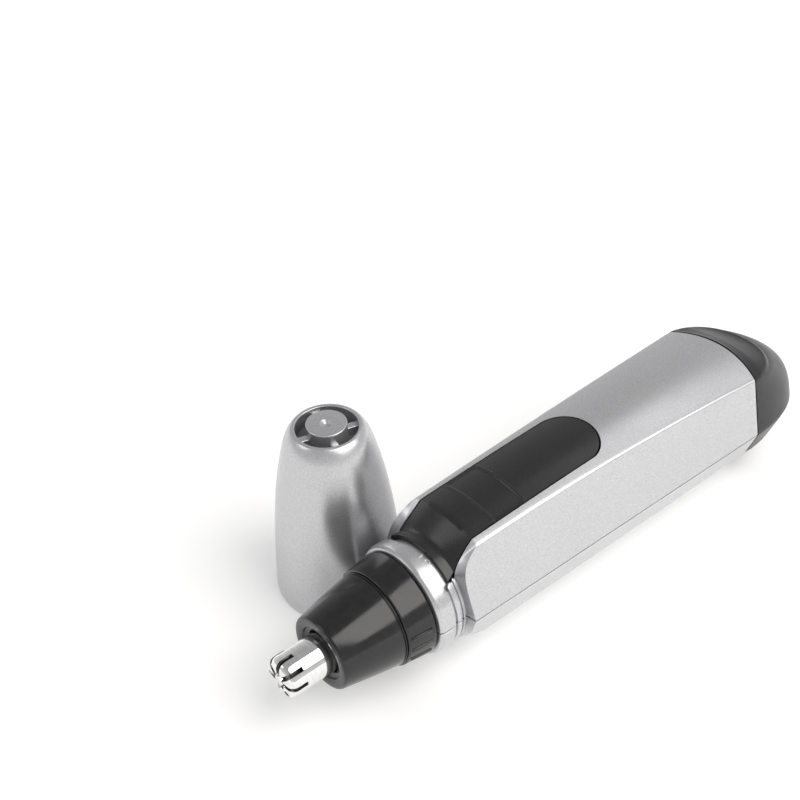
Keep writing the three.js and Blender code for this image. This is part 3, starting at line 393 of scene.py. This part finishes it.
def shell_sheet(inset, top, front_rows):
    """Two grids for the +y half: the seam to the panel opening or centre line, and the part before it."""
    side, front = [], []
    for i, row in enumerate(SHELL_ROWS):
        line = section(row, inset, top)
        s = arclength(line)
        start = float(np.interp(SEAM_GAP / 2, line[:, 2], s))
        end = s[-1]
        if top:
            if i <= PANEL_ROW:
                end = float(np.interp(-PANEL_FLARE, -line[:, 1], s))
            elif i < TIP_ROW:
                end = edge_place(line, s, PANEL_FRONT, PANEL_REAR, 0)
        crease = s[DENSE - 1]
        low = min(crease - 0.6, start + 0.86 * (end - start))
        high = min(crease + 0.6, start + 0.93 * (end - start))
        places = spaced((start, low, 16), (low, high, 6), (high, end, 16 if top else 30))
        side.append(at(line, s, places))
        if top and i <= front_rows:
            front.append(at(line, s, np.linspace(end, s[-1], 13)))
    side = np.array(side)
    if not top:
        side[..., 2] = np.minimum(side[..., 2], REST_DEPTH)
    return side, (np.array(front) if front else None)


def land_sheet():
    """The lowered land of the upper shell in front of the switch panel."""
    rows = []
    for row in SHELL_ROWS[PANEL_ROW : LAND_ROW + 1]:
        line = section(("neck", row[1], NECK_RADIUS), LAND_DEPTH)
        s = arclength(line)
        begin = float(np.interp(-half_width(row[1], PANEL_FRONT, PANEL_REAR, 0), -line[:, 1], s))
        rows.append(at(line, s, np.linspace(begin, s[-1], 13)))
    return np.array(rows)


def shell(top):
    shape = Shape()
    outer, outer_front = shell_sheet(0, top, PANEL_ROW)
    inner, inner_front = shell_sheet(SHELL_WALL, top, LAND_ROW)
    land = land_sheet() if top else None
    up_down = 1 if top else -1
    for y in (1, -1):
        o, n = mirrored(outer, y, up_down), mirrored(inner, y, up_down)
        shape.grid(o).grid(n)
        shape.strip(o[:, 0], n[:, 0]).strip(o[-1], n[-1]).strip(o[0], n[0])
        if top:
            shape.strip(o[LAND_ROW : TIP_ROW + 1, -1], n[LAND_ROW : TIP_ROW + 1, -1])
            of, nf, g = mirrored(outer_front, y), mirrored(inner_front, y), mirrored(land, y)
            shape.grid(of).grid(nf).grid(g)
            shape.strip(of[0], nf[0]).strip(of[-1], g[0]).strip(g[-1], nf[-1])
            shape.strip(o[PANEL_ROW : LAND_ROW + 1, -1], g[:, 0])
            shape.strip([o[LAND_ROW, -1], g[-1, 0]], [n[LAND_ROW, -1], n[LAND_ROW, -1]])
    return shape


def panel_piece(rows, front, rear, grow, top_inset, bottom_inset, lift=None, columns=22):
    """A plate that lies in the panel opening: top and bottom surfaces joined round their edge."""
    tops, bottoms = [], []
    for row in rows:
        for inset_of, store in ((top_inset, tops), (bottom_inset, bottoms)):
            inset = inset_of(row)
            line = section(row if row[0] != "neck" else ("neck", row[1], NECK_RADIUS), inset)
            s = arclength(line)
            if row[0] == "body":
                width = half_width(row[1], front, rear, grow)
                begin = float(np.interp(-width, -line[:, 1], s))
            else:
                begin = edge_place(line, s, front, rear, grow)
            places = begin + (s[-1] - begin) * np.linspace(0, 1, columns + 1)
            pts = at(line, s, places)
            if lift is not None and store is tops:
                pts[:, 2] += lift(pts)
            store.append(pts)
    tops, bottoms = np.array(tops), np.array(bottoms)
    shape = Shape()
    for y in (1, -1):
        t, b = mirrored(tops, y), mirrored(bottoms, y)
        shape.grid(t).grid(b).strip(t[:, 0], b[:, 0]).strip(t[0], b[0]).strip(t[-1], b[-1])
    return shape


# ------------------------------------------------------------------ materials
def ramp(tree, source, low, high, from_low=0.0, from_high=1.0):
    n = tree.nodes.new("ShaderNodeMapRange")
    n.inputs["From Min"].default_value = from_low
    n.inputs["From Max"].default_value = from_high
    n.inputs["To Min"].default_value = low
    n.inputs["To Max"].default_value = high
    tree.links.new(source, n.inputs["Value"])
    return n.outputs["Result"]


def noise(tree, vector, scale, detail=3.0, rough=0.55):
    n = tree.nodes.new("ShaderNodeTexNoise")
    n.inputs["Scale"].default_value = scale
    n.inputs["Detail"].default_value = detail
    n.inputs["Roughness"].default_value = rough
    tree.links.new(vector, n.inputs["Vector"])
    return n.outputs["Fac"]


def scaled(tree, vector, scale):
    n = tree.nodes.new("ShaderNodeMapping")
    n.inputs["Scale"].default_value = scale
    tree.links.new(vector, n.inputs["Vector"])
    return n.outputs["Vector"]


def look(
    name,
    low,
    high,
    rough,
    metallic=0.0,
    grain=900.0,
    grain_detail=2.0,
    blotch=90.0,
    bump=0.0,
    bump_scale=1500.0,
    stretch=(1, 1, 1),
    specular=0.5,
    coat=0.0,
    coat_rough=0.1,
    anisotropic=0.0,
):
    """A procedural finish: colour from low to high by fine grain, roughness by blotches, small bump."""
    m = bpy.data.materials.new(name)
    m.use_nodes = True
    tree = m.node_tree
    tree.nodes.clear()
    out = tree.nodes.new("ShaderNodeOutputMaterial")
    bsdf = tree.nodes.new("ShaderNodeBsdfPrincipled")
    tree.links.new(bsdf.outputs["BSDF"], out.inputs["Surface"])
    place = tree.nodes.new("ShaderNodeTexCoord").outputs["Object"]
    if tuple(stretch) != (1, 1, 1):
        place = scaled(tree, place, stretch)
    fine = noise(tree, place, grain, grain_detail)
    mix = tree.nodes.new("ShaderNodeMix")
    mix.data_type = "RGBA"
    mix.inputs["A"].default_value = (*low, 1)
    mix.inputs["B"].default_value = (*high, 1)
    tree.links.new(ramp(tree, fine, 0, 1, 0.3, 0.7), mix.inputs["Factor"])
    tree.links.new(mix.outputs["Result"], bsdf.inputs["Base Color"])
    soft = noise(tree, place, blotch, 4.0)
    tree.links.new(ramp(tree, soft, rough[0], rough[1], 0.3, 0.7), bsdf.inputs["Roughness"])
    if bump:
        b = tree.nodes.new("ShaderNodeBump")
        b.inputs["Strength"].default_value = bump
        b.inputs["Distance"].default_value = 0.00004
        tree.links.new(noise(tree, place, bump_scale, 2.0), b.inputs["Height"])
        tree.links.new(b.outputs["Normal"], bsdf.inputs["Normal"])
    bsdf.inputs["Metallic"].default_value = metallic
    bsdf.inputs["Specular IOR Level"].default_value = specular
    bsdf.inputs["Coat Weight"].default_value = coat
    bsdf.inputs["Coat Roughness"].default_value = coat_rough
    bsdf.inputs["Anisotropic"].default_value = anisotropic
    return m


SILVER = look(
    "silver_paint", (0.48, 0.482, 0.495), (0.61, 0.612, 0.625), (0.27, 0.33), metallic=0.85,
    grain=4200, grain_detail=1.0, blotch=120, bump=0.12, bump_scale=3800,
)
BLACK_GLOSS = look(
    "black_gloss", (0.007, 0.007, 0.008), (0.013, 0.013, 0.014), (0.13, 0.19), grain=700,
    blotch=260, bump=0.03, bump_scale=500,
)
BLACK_SATIN = look(
    "black_satin", (0.008, 0.008, 0.009), (0.015, 0.015, 0.016), (0.22, 0.3), grain=2600,
    blotch=160, bump=0.16, bump_scale=3200,
)
BLACK_MATT = look(
    "black_matt", (0.012, 0.012, 0.013), (0.02, 0.02, 0.021), (0.4, 0.55), grain=2600, blotch=200,
    bump=0.3, bump_scale=2600,
)
DARK_GREY = look(
    "dark_grey", (0.014, 0.014, 0.016), (0.025, 0.025, 0.028), (0.3, 0.38), grain=3000, blotch=130,
    bump=0.35, bump_scale=3400, specular=0.36,
)
STEEL = look(
    "polished_steel", (0.72, 0.715, 0.71), (0.86, 0.855, 0.85), (0.05, 0.11), metallic=1.0,
    grain=600, blotch=900, bump=0.03, bump_scale=900, stretch=(6, 1, 1),
)
NATURAL = look(
    "natural_nylon", (0.72, 0.7, 0.65), (0.8, 0.78, 0.73), (0.45, 0.6), grain=800, blotch=150,
    bump=0.15,
)
# Steel with a darkened base colour: painted shade for the inner cutter, which sits in shadow inside the head
PAINTED_SHADE_STEEL = look(
    "steel_painted_shade", (0.1, 0.1, 0.1), (0.18, 0.18, 0.18), (0.35, 0.5), metallic=1.0, grain=900,
    blotch=600, bump=0.15, stretch=(1, 6, 6),
)
COPPER = look(
    "copper_alloy", (0.62, 0.33, 0.19), (0.74, 0.44, 0.27), (0.22, 0.36), metallic=1.0, grain=900,
    blotch=300, bump=0.08, stretch=(1, 5, 1),
)
NICKEL = look(
    "nickel_plate", (0.58, 0.58, 0.57), (0.7, 0.7, 0.69), (0.16, 0.28), metallic=1.0, grain=900,
    blotch=400, bump=0.06, stretch=(1, 1, 6),
)
IRON = look(
    "motor_iron", (0.11, 0.105, 0.1), (0.2, 0.19, 0.18), (0.45, 0.65), metallic=0.7, grain=500,
    blotch=260, bump=0.3, stretch=(8, 1, 1),
)
CELL = look(
    "cell_sleeve", (0.05, 0.16, 0.1), (0.07, 0.21, 0.13), (0.25, 0.35), metallic=0.2, grain=1200,
    blotch=200, bump=0.05,
)

# ------------------------------------------------------------------ shells
piece("upper_case", shell(True), "housing", SILVER, bevel=0.16, replaces=["upper_shell"])
piece("lower_case", shell(False), "housing", SILVER, bevel=0.16, replaces=["lower_shell"])

# ------------------------------------------------------------------ switch panel
SLIDER_REAR = PANEL_REAR - GAP
RIDGES = (45.75, 46.15, 53.65, 54.05)


def slider_lift(p):
    x = p[:, 0]
    edge = smooth((half_width(x, PANEL_FRONT, SLIDER_REAR, -GAP) - np.abs(p[:, 1])) / 0.9)
    ridges = sum(0.1 * np.exp(-(((x - r) / 0.11) ** 2)) for r in RIDGES)
    dip = 0.14 * smooth((x - 46.0) / 0.6) * smooth((53.9 - x) / 0.6)
    return (ridges - dip) * edge


def plain(inset):
    return lambda row: inset


ridge_stations = sorted({round(v, 3) for r in (45.95, 53.85) for v in np.linspace(r - 0.9, r + 0.9, 37)})
SLIDER_TIP = SLIDER_REAR - PANEL_TIP
plain_stations = [
    v
    for v in np.linspace(CREASE_START, SLIDER_TIP, 30)[1:]
    if all(abs(v - r) > 0.05 for r in ridge_stations)
]
slider_rows = (
    [("neck", x, NECK_RADIUS) for x in (SLIDER_FRONT, 33.55, 33.8, 34.2, 34.7, NECK_END)]
    + SHOULDER_ROWS
    + body_rows(sorted(plain_stations + ridge_stations) + tip_stations(SLIDER_TIP, 19))
)


def slider_bottom(row):
    """The lip over the neck is thin; the rest of the panel is thicker."""
    over_neck = row[0] == "neck" or (row[0] == "shoulder" and row[1] < 0.2)
    return 0.75 if over_neck else 1.9


piece(
    "switch_panel",
    panel_piece(slider_rows, PANEL_FRONT, SLIDER_REAR, -GAP, plain(0.1), slider_bottom, slider_lift),
    "switch",
    BLACK_SATIN,
    bevel=0.16,
    replaces=["switch_slider"],
)
BED_REAR = PANEL_REAR + 1.2
BED_TIP = BED_REAR - PANEL_TIP
bed_rows = (
    [("neck", x, NECK_RADIUS) for x in (LAND_END + GAP, 34.8, NECK_END)]
    + SHOULDER_ROWS
    + body_rows(list(np.linspace(CREASE_START, BED_TIP, 20)[1:]) + tip_stations(BED_TIP, 13))
)
piece(
    "switch_bed",
    panel_piece(bed_rows, PANEL_FRONT, BED_REAR, -GAP, plain(2.2), plain(3.2), columns=14),
    "housing", BLACK_MATT, bevel=0.1, replaces=["slider_bed"],
)

# Plain raised marks on the land: a bar and a ring
LAND_RADIUS = NECK_RADIUS - LAND_DEPTH


def wrapped(x, across, lift):
    """A point on the land at station x, at an arc length across from the top towards -y."""
    a = math.pi / 2 + across / LAND_RADIUS
    return (x, (LAND_RADIUS + lift) * math.cos(a), (LAND_RADIUS + lift) * math.sin(a))


def closed_band(outer, inner, lift=0.22):
    shape = Shape()
    sides = ((outer, -0.1), (outer, lift), (inner, lift), (inner, -0.1))
    loops = [[wrapped(x, w, h) for x, w in loop] for loop, h in sides]
    return shape.grid(np.array(loops), wrap=True)


turn = np.linspace(0, 2 * math.pi, 28, endpoint=False)
MARK_X = 32.4
MARK_REACH = 0.72
RING_ACROSS = 3.4
BAR_ACROSS = 1.6


def circle(radius):
    return [(MARK_X + radius * math.cos(a), RING_ACROSS + radius * math.sin(a)) for a in turn]


def bar_edge(a):
    """One point round the bar: long along the trimmer, with its sides held straight."""
    side = math.copysign(min(1, abs(math.sin(a)) * 2), math.sin(a))
    return (MARK_X + MARK_REACH * math.cos(a), BAR_ACROSS + 0.16 * side)


ring_mark = closed_band(circle(MARK_REACH), circle(0.44))
piece("mark_ring", ring_mark, "housing", SILVER, bevel=0.05)
bar_middle = [(MARK_X + 0.3 * math.cos(a), BAR_ACROSS + 0.02 * math.sin(a)) for a in turn]
bar_mark = closed_band([bar_edge(a) for a in turn], bar_middle)
piece("mark_bar", bar_mark, "housing", SILVER, bevel=0.04)

# ------------------------------------------------------------------ head
head = turned(
    [
        (9.95, HEAD_MOUTH_RADIUS),
        (9.95, 5.3, 0.12),
        (9.42, 5.5, 0.2),
        (CONE_FRONT, 6.4),
        (CONE_FRONT, 7.5, 0.95),
        (15.5, 8.68),
        (21.5, 9.66, 0.12),
        (21.56, 9.46, 0.06),
        (21.72, 9.46, 0.06),
        (21.78, 9.74, 0.06),
        (21.94, 9.74, 0.06),
        (RING_FRONT, 9.5, 0.06),
        (22.12, 9.5, 0.06),
        (22.2, 10.1, 0.25),
        (24.5, 10.4),
        (28.0, 10.82, 0.15),
        (HEAD_REAR, 10.62, 0.1),
        (HEAD_REAR, RING_BORE, 0.1),
        (22.7, RING_BORE),
        (21.7, 7.6),
        (11.2, 6.6),
        (11.2, HEAD_MOUTH_RADIUS),
    ],
    144,
)
piece("head_case", head, "head", BLACK_GLOSS, replaces=["head_frame"])


RIB_RISE = 0.28


def bar(x0, x1, r0, r1, centre, half, steps=6):
    """A raised bar round the head: angles in degrees from +y towards +z, radii along its length."""
    angles = np.radians(np.linspace(centre - half, centre + half, steps + 1))
    rings = []
    for x, lift in ((x0, -0.3), (x0, 0.6), (x0 + 0.12, 1), (x1 - 0.12, 1), (x1, 0.6), (x1, -0.3)):
        base = np.interp(x, (x0, x1), (r0, r1))
        profile = 1 - 0.55 * (np.linspace(-1, 1, steps + 1) ** 4)
        r = base + RIB_RISE * lift * (profile if lift > 0 else 1)
        rings.append(np.stack([np.full(steps + 1, x), r * np.cos(angles), r * np.sin(angles)], 1))
    low = [np.stack([g[:, 0], g[:, 1] * 0.96, g[:, 2] * 0.96], 1) for g in rings]
    shape = Shape().grid(np.array(rings))
    shape.strip(np.array(rings)[:, 0], np.array(low)[:, 0]).strip(
        np.array(rings)[:, -1], np.array(low)[:, -1],
    )
    return shape


def ring_radius(x):
    return float(np.interp(x, (22.2, 24.5, 28.0), (10.1, 10.4, 10.82)))


RIB_FRONT, RIB_REAR = 22.7, 27.2
RIB_SPACING = 16
for side, middle in (("near", 186), ("far", 6)):
    for k, offset in enumerate((-RIB_SPACING, 0, RIB_SPACING)):
        rib = bar(RIB_FRONT, RIB_REAR, ring_radius(RIB_FRONT), ring_radius(RIB_REAR), middle + offset, 2.0)
        piece(f"head_rib_{side}_{k + 1}", rib, "head", BLACK_GLOSS)

# ------------------------------------------------------------------ cutter
SLOTS = 8
SLOT_HALF = 0.45
HUB = 1.1
NOSE_FILLET = 1.5
CUTTER_WALL = 0.45
CUTTER_REAR = 11.4
SLOT_END = 3.6


def cutter_line(radius, front):
    pts = [(front, 0.0), (front, 0.5), (front, HUB)]
    pts += [(front + 0.02 * k, HUB + (radius - NOSE_FILLET - HUB) * k / 3) for k in (1, 2, 3)]
    x0 = front + 0.06
    for a in np.linspace(0, math.pi / 2, 10)[1:]:
        pts.append((x0 + NOSE_FILLET * (1 - math.cos(a)), radius - NOSE_FILLET + NOSE_FILLET * math.sin(a)))
    pts += [(x, radius) for x in np.linspace(x0 + NOSE_FILLET, SLOT_END, 6)[1:]]
    cut = len(pts) - 1
    pts += [(x, radius) for x in np.linspace(SLOT_END, CUTTER_REAR, 12)[1:]]
    return pts, cut


def cutter():
    shape = Shape()
    outer, cut = cutter_line(CUTTER_RADIUS, 0)
    inner = cutter_line(CUTTER_RADIUS - CUTTER_WALL, CUTTER_WALL)[0]
    sector = 2 * math.pi / SLOTS

    def point(x, r, u):
        k, v = int(u // 1), u % 1
        a = math.asin(min(1, SLOT_HALF / max(r, HUB)))
        if v < 0.3:
            angle = k * sector - a + 2 * a * v / 0.3
        else:
            angle = k * sector + a + (sector - 2 * a) * (v - 0.3) / 0.7
        return (x, r * math.cos(angle), r * math.sin(angle))

    slot_u = list(np.linspace(0, 0.3, 4))
    blade_u = list(np.linspace(0.3, 1, 9))
    for k in range(SLOTS):
        for line in (outer, inner):
            blade = np.array([[point(x, r, k + min(u, 0.999999)) for u in blade_u] for x, r in line])
            slot = np.array([[point(x, r, k + u) for u in slot_u] for x, r in line])
            shape.grid(blade)
            shape.grid(slot[:3]).grid(slot[cut:])
        for u in (k, k + 0.3):
            a = np.array([point(x, r, u) for x, r in outer[2 : cut + 1]])
            b = np.array([point(x, r, u) for x, r in inner[2 : cut + 1]])
            shape.strip(a, b)
        for i in (2, cut):
            a = np.array([point(*outer[i], k + u) for u in slot_u])
            b = np.array([point(*inner[i], k + u) for u in slot_u])
            shape.strip(a, b)
    angles = np.linspace(0, 2 * math.pi, 97)

    def rim(x, r):
        return np.stack([np.full(97, x), r * np.cos(angles), r * np.sin(angles)], 1)

    return shape.strip(rim(*outer[-1]), rim(*inner[-1]))


piece(
    "cutter_shell", cutter(), "head", STEEL, bevel=0.05, angle=40, segments=2,
    replaces=["outer_cutter"],
)

# ------------------------------------------------------------------ battery cover
THUMB_LENGTH = 11.8
UNDER_LENGTH = 13.5
THUMB_BELLY = 2.7
UNDER_BELLY = 1.0
CAVITY_END = 128.0
CAVITY_RADIUS = 9.2
CAVITY_START = 112.2
SKIRT_FRONT = 106.2
SKIRT_OUTSIDE = 2.3
SKIRT_INSIDE = 3.6
THUMB_DROP = 1.6
THUMB_HOLLOW = 0.7
UNDER_TAIL_RISE = 4.9


def soft_min(a, b, k):
    h = np.clip(0.5 + 0.5 * (b - a) / k, 0, 1)
    return b + (a - b) * h - k * h * (1 - h)


COVER_T = np.concatenate([np.linspace(0, 0.7, 12), np.linspace(0.7, 1, 13)[1:], np.ones(26)])
COVER_C = np.concatenate([np.zeros(24), np.linspace(0, 0.3, 13)[1:], np.linspace(0.3, 1, 15)[1:]])


def cover_line(turn, top):
    """Half of one ring of the grip, from the seam to the centre line."""
    t, c = COVER_T, COVER_C
    reach, width = math.sin(turn), max(math.cos(turn), 0)
    seam_y = SEAM_HALF[2] * math.sqrt(max(0, 1 - reach**2.4))
    halves, heights = SECTION[top]
    height = heights[2] - THUMB_DROP * reach if top else heights[2] + UNDER_TAIL_RISE * reach**1.2
    bulge = 1 - (1 - c) ** 2
    rise = bulge if top else 1 - (1 - c) ** UNDER_POWER
    arch = REAR_ARCH * bulge * (1 - reach)
    seam_x = COVER_FRONT + (TAIL_END - COVER_FRONT) * reach
    crease_x = COVER_FRONT + arch + (THUMB_LENGTH if top else UNDER_LENGTH) * reach
    half = halves[2] * width
    belly = (THUMB_BELLY if top else UNDER_BELLY) * np.sin(math.pi * t) * reach
    x = np.where(c > 0, crease_x, seam_x + (crease_x - seam_x) * t + belly)
    y = np.where(c > 0, half * (1 - c), seam_y + (half - seam_y) * t)
    wall = np.where(c > 0, height, height * t)
    inside = 1 - np.sqrt(np.clip(1 - width**2 * bulge, 0, 1))
    uncut = wall + 30 * inside
    crown = (TOP_CROWN if top else UNDER_CROWN) * (1 - reach)
    hollow = THUMB_HOLLOW * math.sin(2 * turn) if top else 0
    face = height + (crown - hollow) * rise
    if top:
        face = face + 0.25 * smooth(reach / 0.3)
    z = soft_min(uncut, face, 0.9 + (1.5 if top else 1.0) * smooth(reach / 0.35))
    return np.stack([x, y, z if top else np.minimum(z, REST_DEPTH)], 1)


def full_ring(top_half, bottom_half):
    """Joins the four quarter lines into one closed ring of points."""
    a = mirrored(top_half, 1, 1)
    b = mirrored(top_half, -1, 1)[::-1][1:]
    c = mirrored(bottom_half, -1, -1)[1:]
    d = mirrored(bottom_half, 1, -1)[::-1][1:-1]
    return np.concatenate([a, b, c, d])


def cover():
    turns = np.concatenate([[0], np.linspace(0.012, 0.12, 5), np.linspace(0.12, math.pi / 2, 44)[1:]])
    rings = [full_ring(cover_line(t, True), cover_line(t, False)) for t in turns[::-1]]

    def inset_ring(inset, x_shift, arched):
        halves = []
        for top in (True, False):
            line = flat_section(SIDE_END + 0 * T, inset, top)
            s = arclength(line)
            k = DENSE - 1
            f = np.concatenate([COVER_T[:24] * s[k], s[k] + COVER_C[24:] * (s[-1] - s[k])])
            q = at(line, s, f)
            arch = np.where(COVER_C > 0, REAR_ARCH * (1 - (1 - COVER_C) ** 2), 0) if arched else 0
            q[:, 0] = x_shift + arch
            halves.append(q)
        return full_ring(*halves)

    rings.append(inset_ring(SKIRT_OUTSIDE, COVER_FRONT, True))
    rings.append(inset_ring(SKIRT_OUTSIDE, SKIRT_FRONT, False))
    rings.append(inset_ring(SKIRT_INSIDE, SKIRT_FRONT, False))
    inner = inset_ring(SKIRT_INSIDE, CAVITY_START, False)
    rings.append(inner)
    angle = np.arctan2(inner[:, 2], inner[:, 1])
    for x, r in ((CAVITY_START, CAVITY_RADIUS), (CAVITY_END, CAVITY_RADIUS), (CAVITY_END, 0.0)):
        rings.append(np.stack([np.full(len(angle), x), r * np.cos(angle), r * np.sin(angle)], 1))
    return Shape().grid(np.array(rings), wrap=True)


piece(
    "tail_grip", cover(), "tail_cover", DARK_GREY, bevel=0.12, angle=50,
    replaces=["battery_cover"],
)

# ------------------------------------------------------------------ cap
cap_low, cap_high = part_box("cap")
CAP_X = (cap_low.x + cap_high.x) / 2
CAP_Y = (cap_low.y + cap_high.y) / 2
CAP_HEIGHT = 40.0


def cap_radius(h):
    if h <= 1.2:
        return 12.9 + 0.2 * h / 1.2
    f = (h - 1.2) / 36.0
    return 13.1 - 2.0 * f - 2.56 * f**3.2


def upright(outline, segments=160):
    """A lathe about the cap's own upright axis from (radius, height) points, in frame metres."""
    rows = []
    for r, h in outline:
        a = np.linspace(0, 2 * math.pi, segments, endpoint=False)
        rows.append(
            np.stack([CAP_X + r * MM * np.cos(a), CAP_Y + r * MM * np.sin(a), np.full(segments, h * MM)], 1),
        )
    return Shape().grid(np.array(rows), wrap=True)


CAP_WALL = 1.0
CAP_FLOOR = 36.6
wall_heights = (1.2, 3, 6, 9, 12, 15, 18, 21, 24, 26, 28, 30, 32, 34, 35.5, CAP_FLOOR)
outside = [(12.55, 0.0), (12.9, 0.0, 0.2)] + [(cap_radius(h), h) for h in wall_heights]
outside += [(8.35, 37.6), (7.95, 38.5), (7.45, 39.3, 0.5), (6.95, 39.86, 0.25)]
outside += [(6.55, CAP_HEIGHT, 0.2), (6.12, 39.9, 0.15), (6.1, CAP_FLOOR), (7.4, 36.4)]
inside = [(cap_radius(h) - CAP_WALL, h) for h in (35.0, 32, 28, 24, 20, 15, 10, 5, 1.0)]
inside += [(12.0, 0.25), (12.15, 0.0)]
cap_outline = [tuple(p) for p in rounded([*outside, *inside], 3)]
piece(
    "cap_wall", upright(cap_outline + [cap_outline[0]]), "cap", SILVER,
    replaces=["cap"], frame_points=True,
)
disc = rounded(
    [
        (0.0, CAP_FLOOR),
        (4.0, CAP_FLOOR, 0.1),
        (4.0, 40.77, 0.22),
        (1.25, 40.79, 0.12),
        (0.35, 40.2, 0.15),
        (0.0, 40.15),
    ],
    4,
)
piece(
    "cap_vent_disc", upright([tuple(p) for p in disc], 96), "cap", SILVER,
    frame_points=True,
)
for k in range(4):
    angle = math.radians(-18 + 90 * k)
    out, side = np.array([math.cos(angle), math.sin(angle)]), np.array([-math.sin(angle), math.cos(angle)])
    rows = []
    for r in (3.7, 4.6, 5.5, 6.4):
        ring = [(-0.8, 36.65), (0.8, 36.65), (0.8, 38.6), (-0.8, 38.6)]
        rows.append([(*(out * r + side * w), h) for w, h in ring])
    g = np.array(rows) * MM + np.array([CAP_X, CAP_Y, 0])
    shape = Shape().grid(g, wrap=True)
    shape.points.extend([*g[0], *g[-1]])
    n = len(shape.points)
    shape.faces.extend([(n - 8, n - 7, n - 6, n - 5), (n - 4, n - 3, n - 2, n - 1)])
    piece(f"cap_spoke_{k + 1}", shape, "cap", SILVER, bevel=0.18, frame_points=True)

# ------------------------------------------------------------------ inner CAD nodes: own shape, new finish
FINISHES = {
    # the inner cutter's dark steel is painted shade
    "inner_cutter": PAINTED_SHADE_STEEL,
    "cutter_retainer": BLACK_MATT,
    "cutter_spindle": NATURAL,
    "cutter_spring": NICKEL,
    "drive_coupling": NATURAL,
    "motor_shaft": STEEL,
    "armature": IRON,
    "commutator": COPPER,
    "motor_can": NICKEL,
    "motor_end_cap": NATURAL,
    "magnet_left": IRON,
    "magnet_right": IRON,
    "brush_left": COPPER,
    "brush_right": COPPER,
    "front_bearing": COPPER,
    "rear_bearing": COPPER,
    "terminal_left": COPPER,
    "terminal_right": COPPER,
    "positive_contact": NICKEL,
    "motor_strip": NICKEL,
    "negative_strip": NICKEL,
    "battery_cell": CELL,
    "cover_contact": NICKEL,
    "battery_spring": NICKEL,
    "switch_bridge": COPPER,
    "chassis": NATURAL,
}
for name, finish in FINISHES.items():
    node = NODES[name]
    node.data.materials.clear()
    node.data.materials.append(finish)
    for polygon in node.data.polygons:
        polygon.use_smooth = False

# ------------------------------------------------------------------ floor, lights
floor_mesh = bpy.data.meshes.new("floor")
floor_mesh.from_pydata([(-4, -4, 0), (4, -4, 0), (4, 4, 0), (-4, 4, 0)], [], [(0, 1, 2, 3)])
floor = bpy.data.objects.new("floor", floor_mesh)
floor.location.z = -0.0001
bpy.context.scene.collection.objects.link(floor)
floor_look = look("floor", (0.9, 0.9, 0.9), (0.93, 0.93, 0.93), (0.7, 0.8), grain=3, blotch=3, specular=0.2)
floor_mesh.materials.append(floor_look)
# The backdrop glows a little, more so away from the trimmer, so that it stays an even white
tree = floor_look.node_tree
away = tree.nodes.new("ShaderNodeVectorMath")
away.operation = "LENGTH"
tree.links.new(tree.nodes.new("ShaderNodeTexCoord").outputs["Object"], away.inputs[0])
glow = ramp(tree, away.outputs["Value"], 0.2, 0.62, 0.15, 0.9)
floor_shader = next(n for n in tree.nodes if n.type == "BSDF_PRINCIPLED")
floor_shader.inputs["Emission Color"].default_value = (1, 1, 1, 1)
tree.links.new(glow, floor_shader.inputs["Emission Strength"])


LIGHT_TARGET = Vector((-20, 10, 20)) * MM


def direction(azimuth, elevation):
    a, e = math.radians(azimuth), math.radians(elevation)
    return Vector((math.cos(e) * math.cos(a), math.cos(e) * math.sin(a), math.sin(e)))


def softbox(name, azimuth, elevation, distance, width, height, radiance, tint=(1, 1, 1)):
    data = bpy.data.lights.new(name, "AREA")
    data.shape = "RECTANGLE"
    data.size, data.size_y = width, height
    data.energy = radiance * width * height * math.pi
    data.color = tint
    obj = bpy.data.objects.new(name, data)
    d = direction(azimuth, elevation)
    obj.location = LIGHT_TARGET + d * distance
    obj.rotation_mode = "QUATERNION"
    obj.rotation_quaternion = d.to_track_quat("Z", "Y")
    bpy.context.scene.collection.objects.link(obj)


softbox("key", -68, 50, distance=0.9, width=0.8, height=0.8, radiance=3.4, tint=(1.0, 0.98, 0.95))
softbox("top", 12, 50, distance=1.0, width=0.34, height=0.34, radiance=1.0)
softbox("left", 150, 40, distance=1.0, width=0.4, height=0.4, radiance=1.8)

world = bpy.data.worlds.new("studio")
world.use_nodes = True
tree = world.node_tree
tree.nodes.clear()
sky_out = tree.nodes.new("ShaderNodeOutputWorld")
sky = tree.nodes.new("ShaderNodeBackground")
tree.links.new(sky.outputs["Background"], sky_out.inputs["Surface"])
heading = tree.nodes.new("ShaderNodeTexCoord").outputs["Generated"]
parts = tree.nodes.new("ShaderNodeSeparateXYZ")
tree.links.new(heading, parts.inputs["Vector"])
tree.links.new(ramp(tree, parts.outputs["Z"], 0.75, 0.42, 0.0, 0.8), sky.inputs["Strength"])
sky.inputs["Color"].default_value = (1, 1, 1, 1)
bpy.context.scene.world = world
bpy.context.scene.view_settings.view_transform = "Standard"
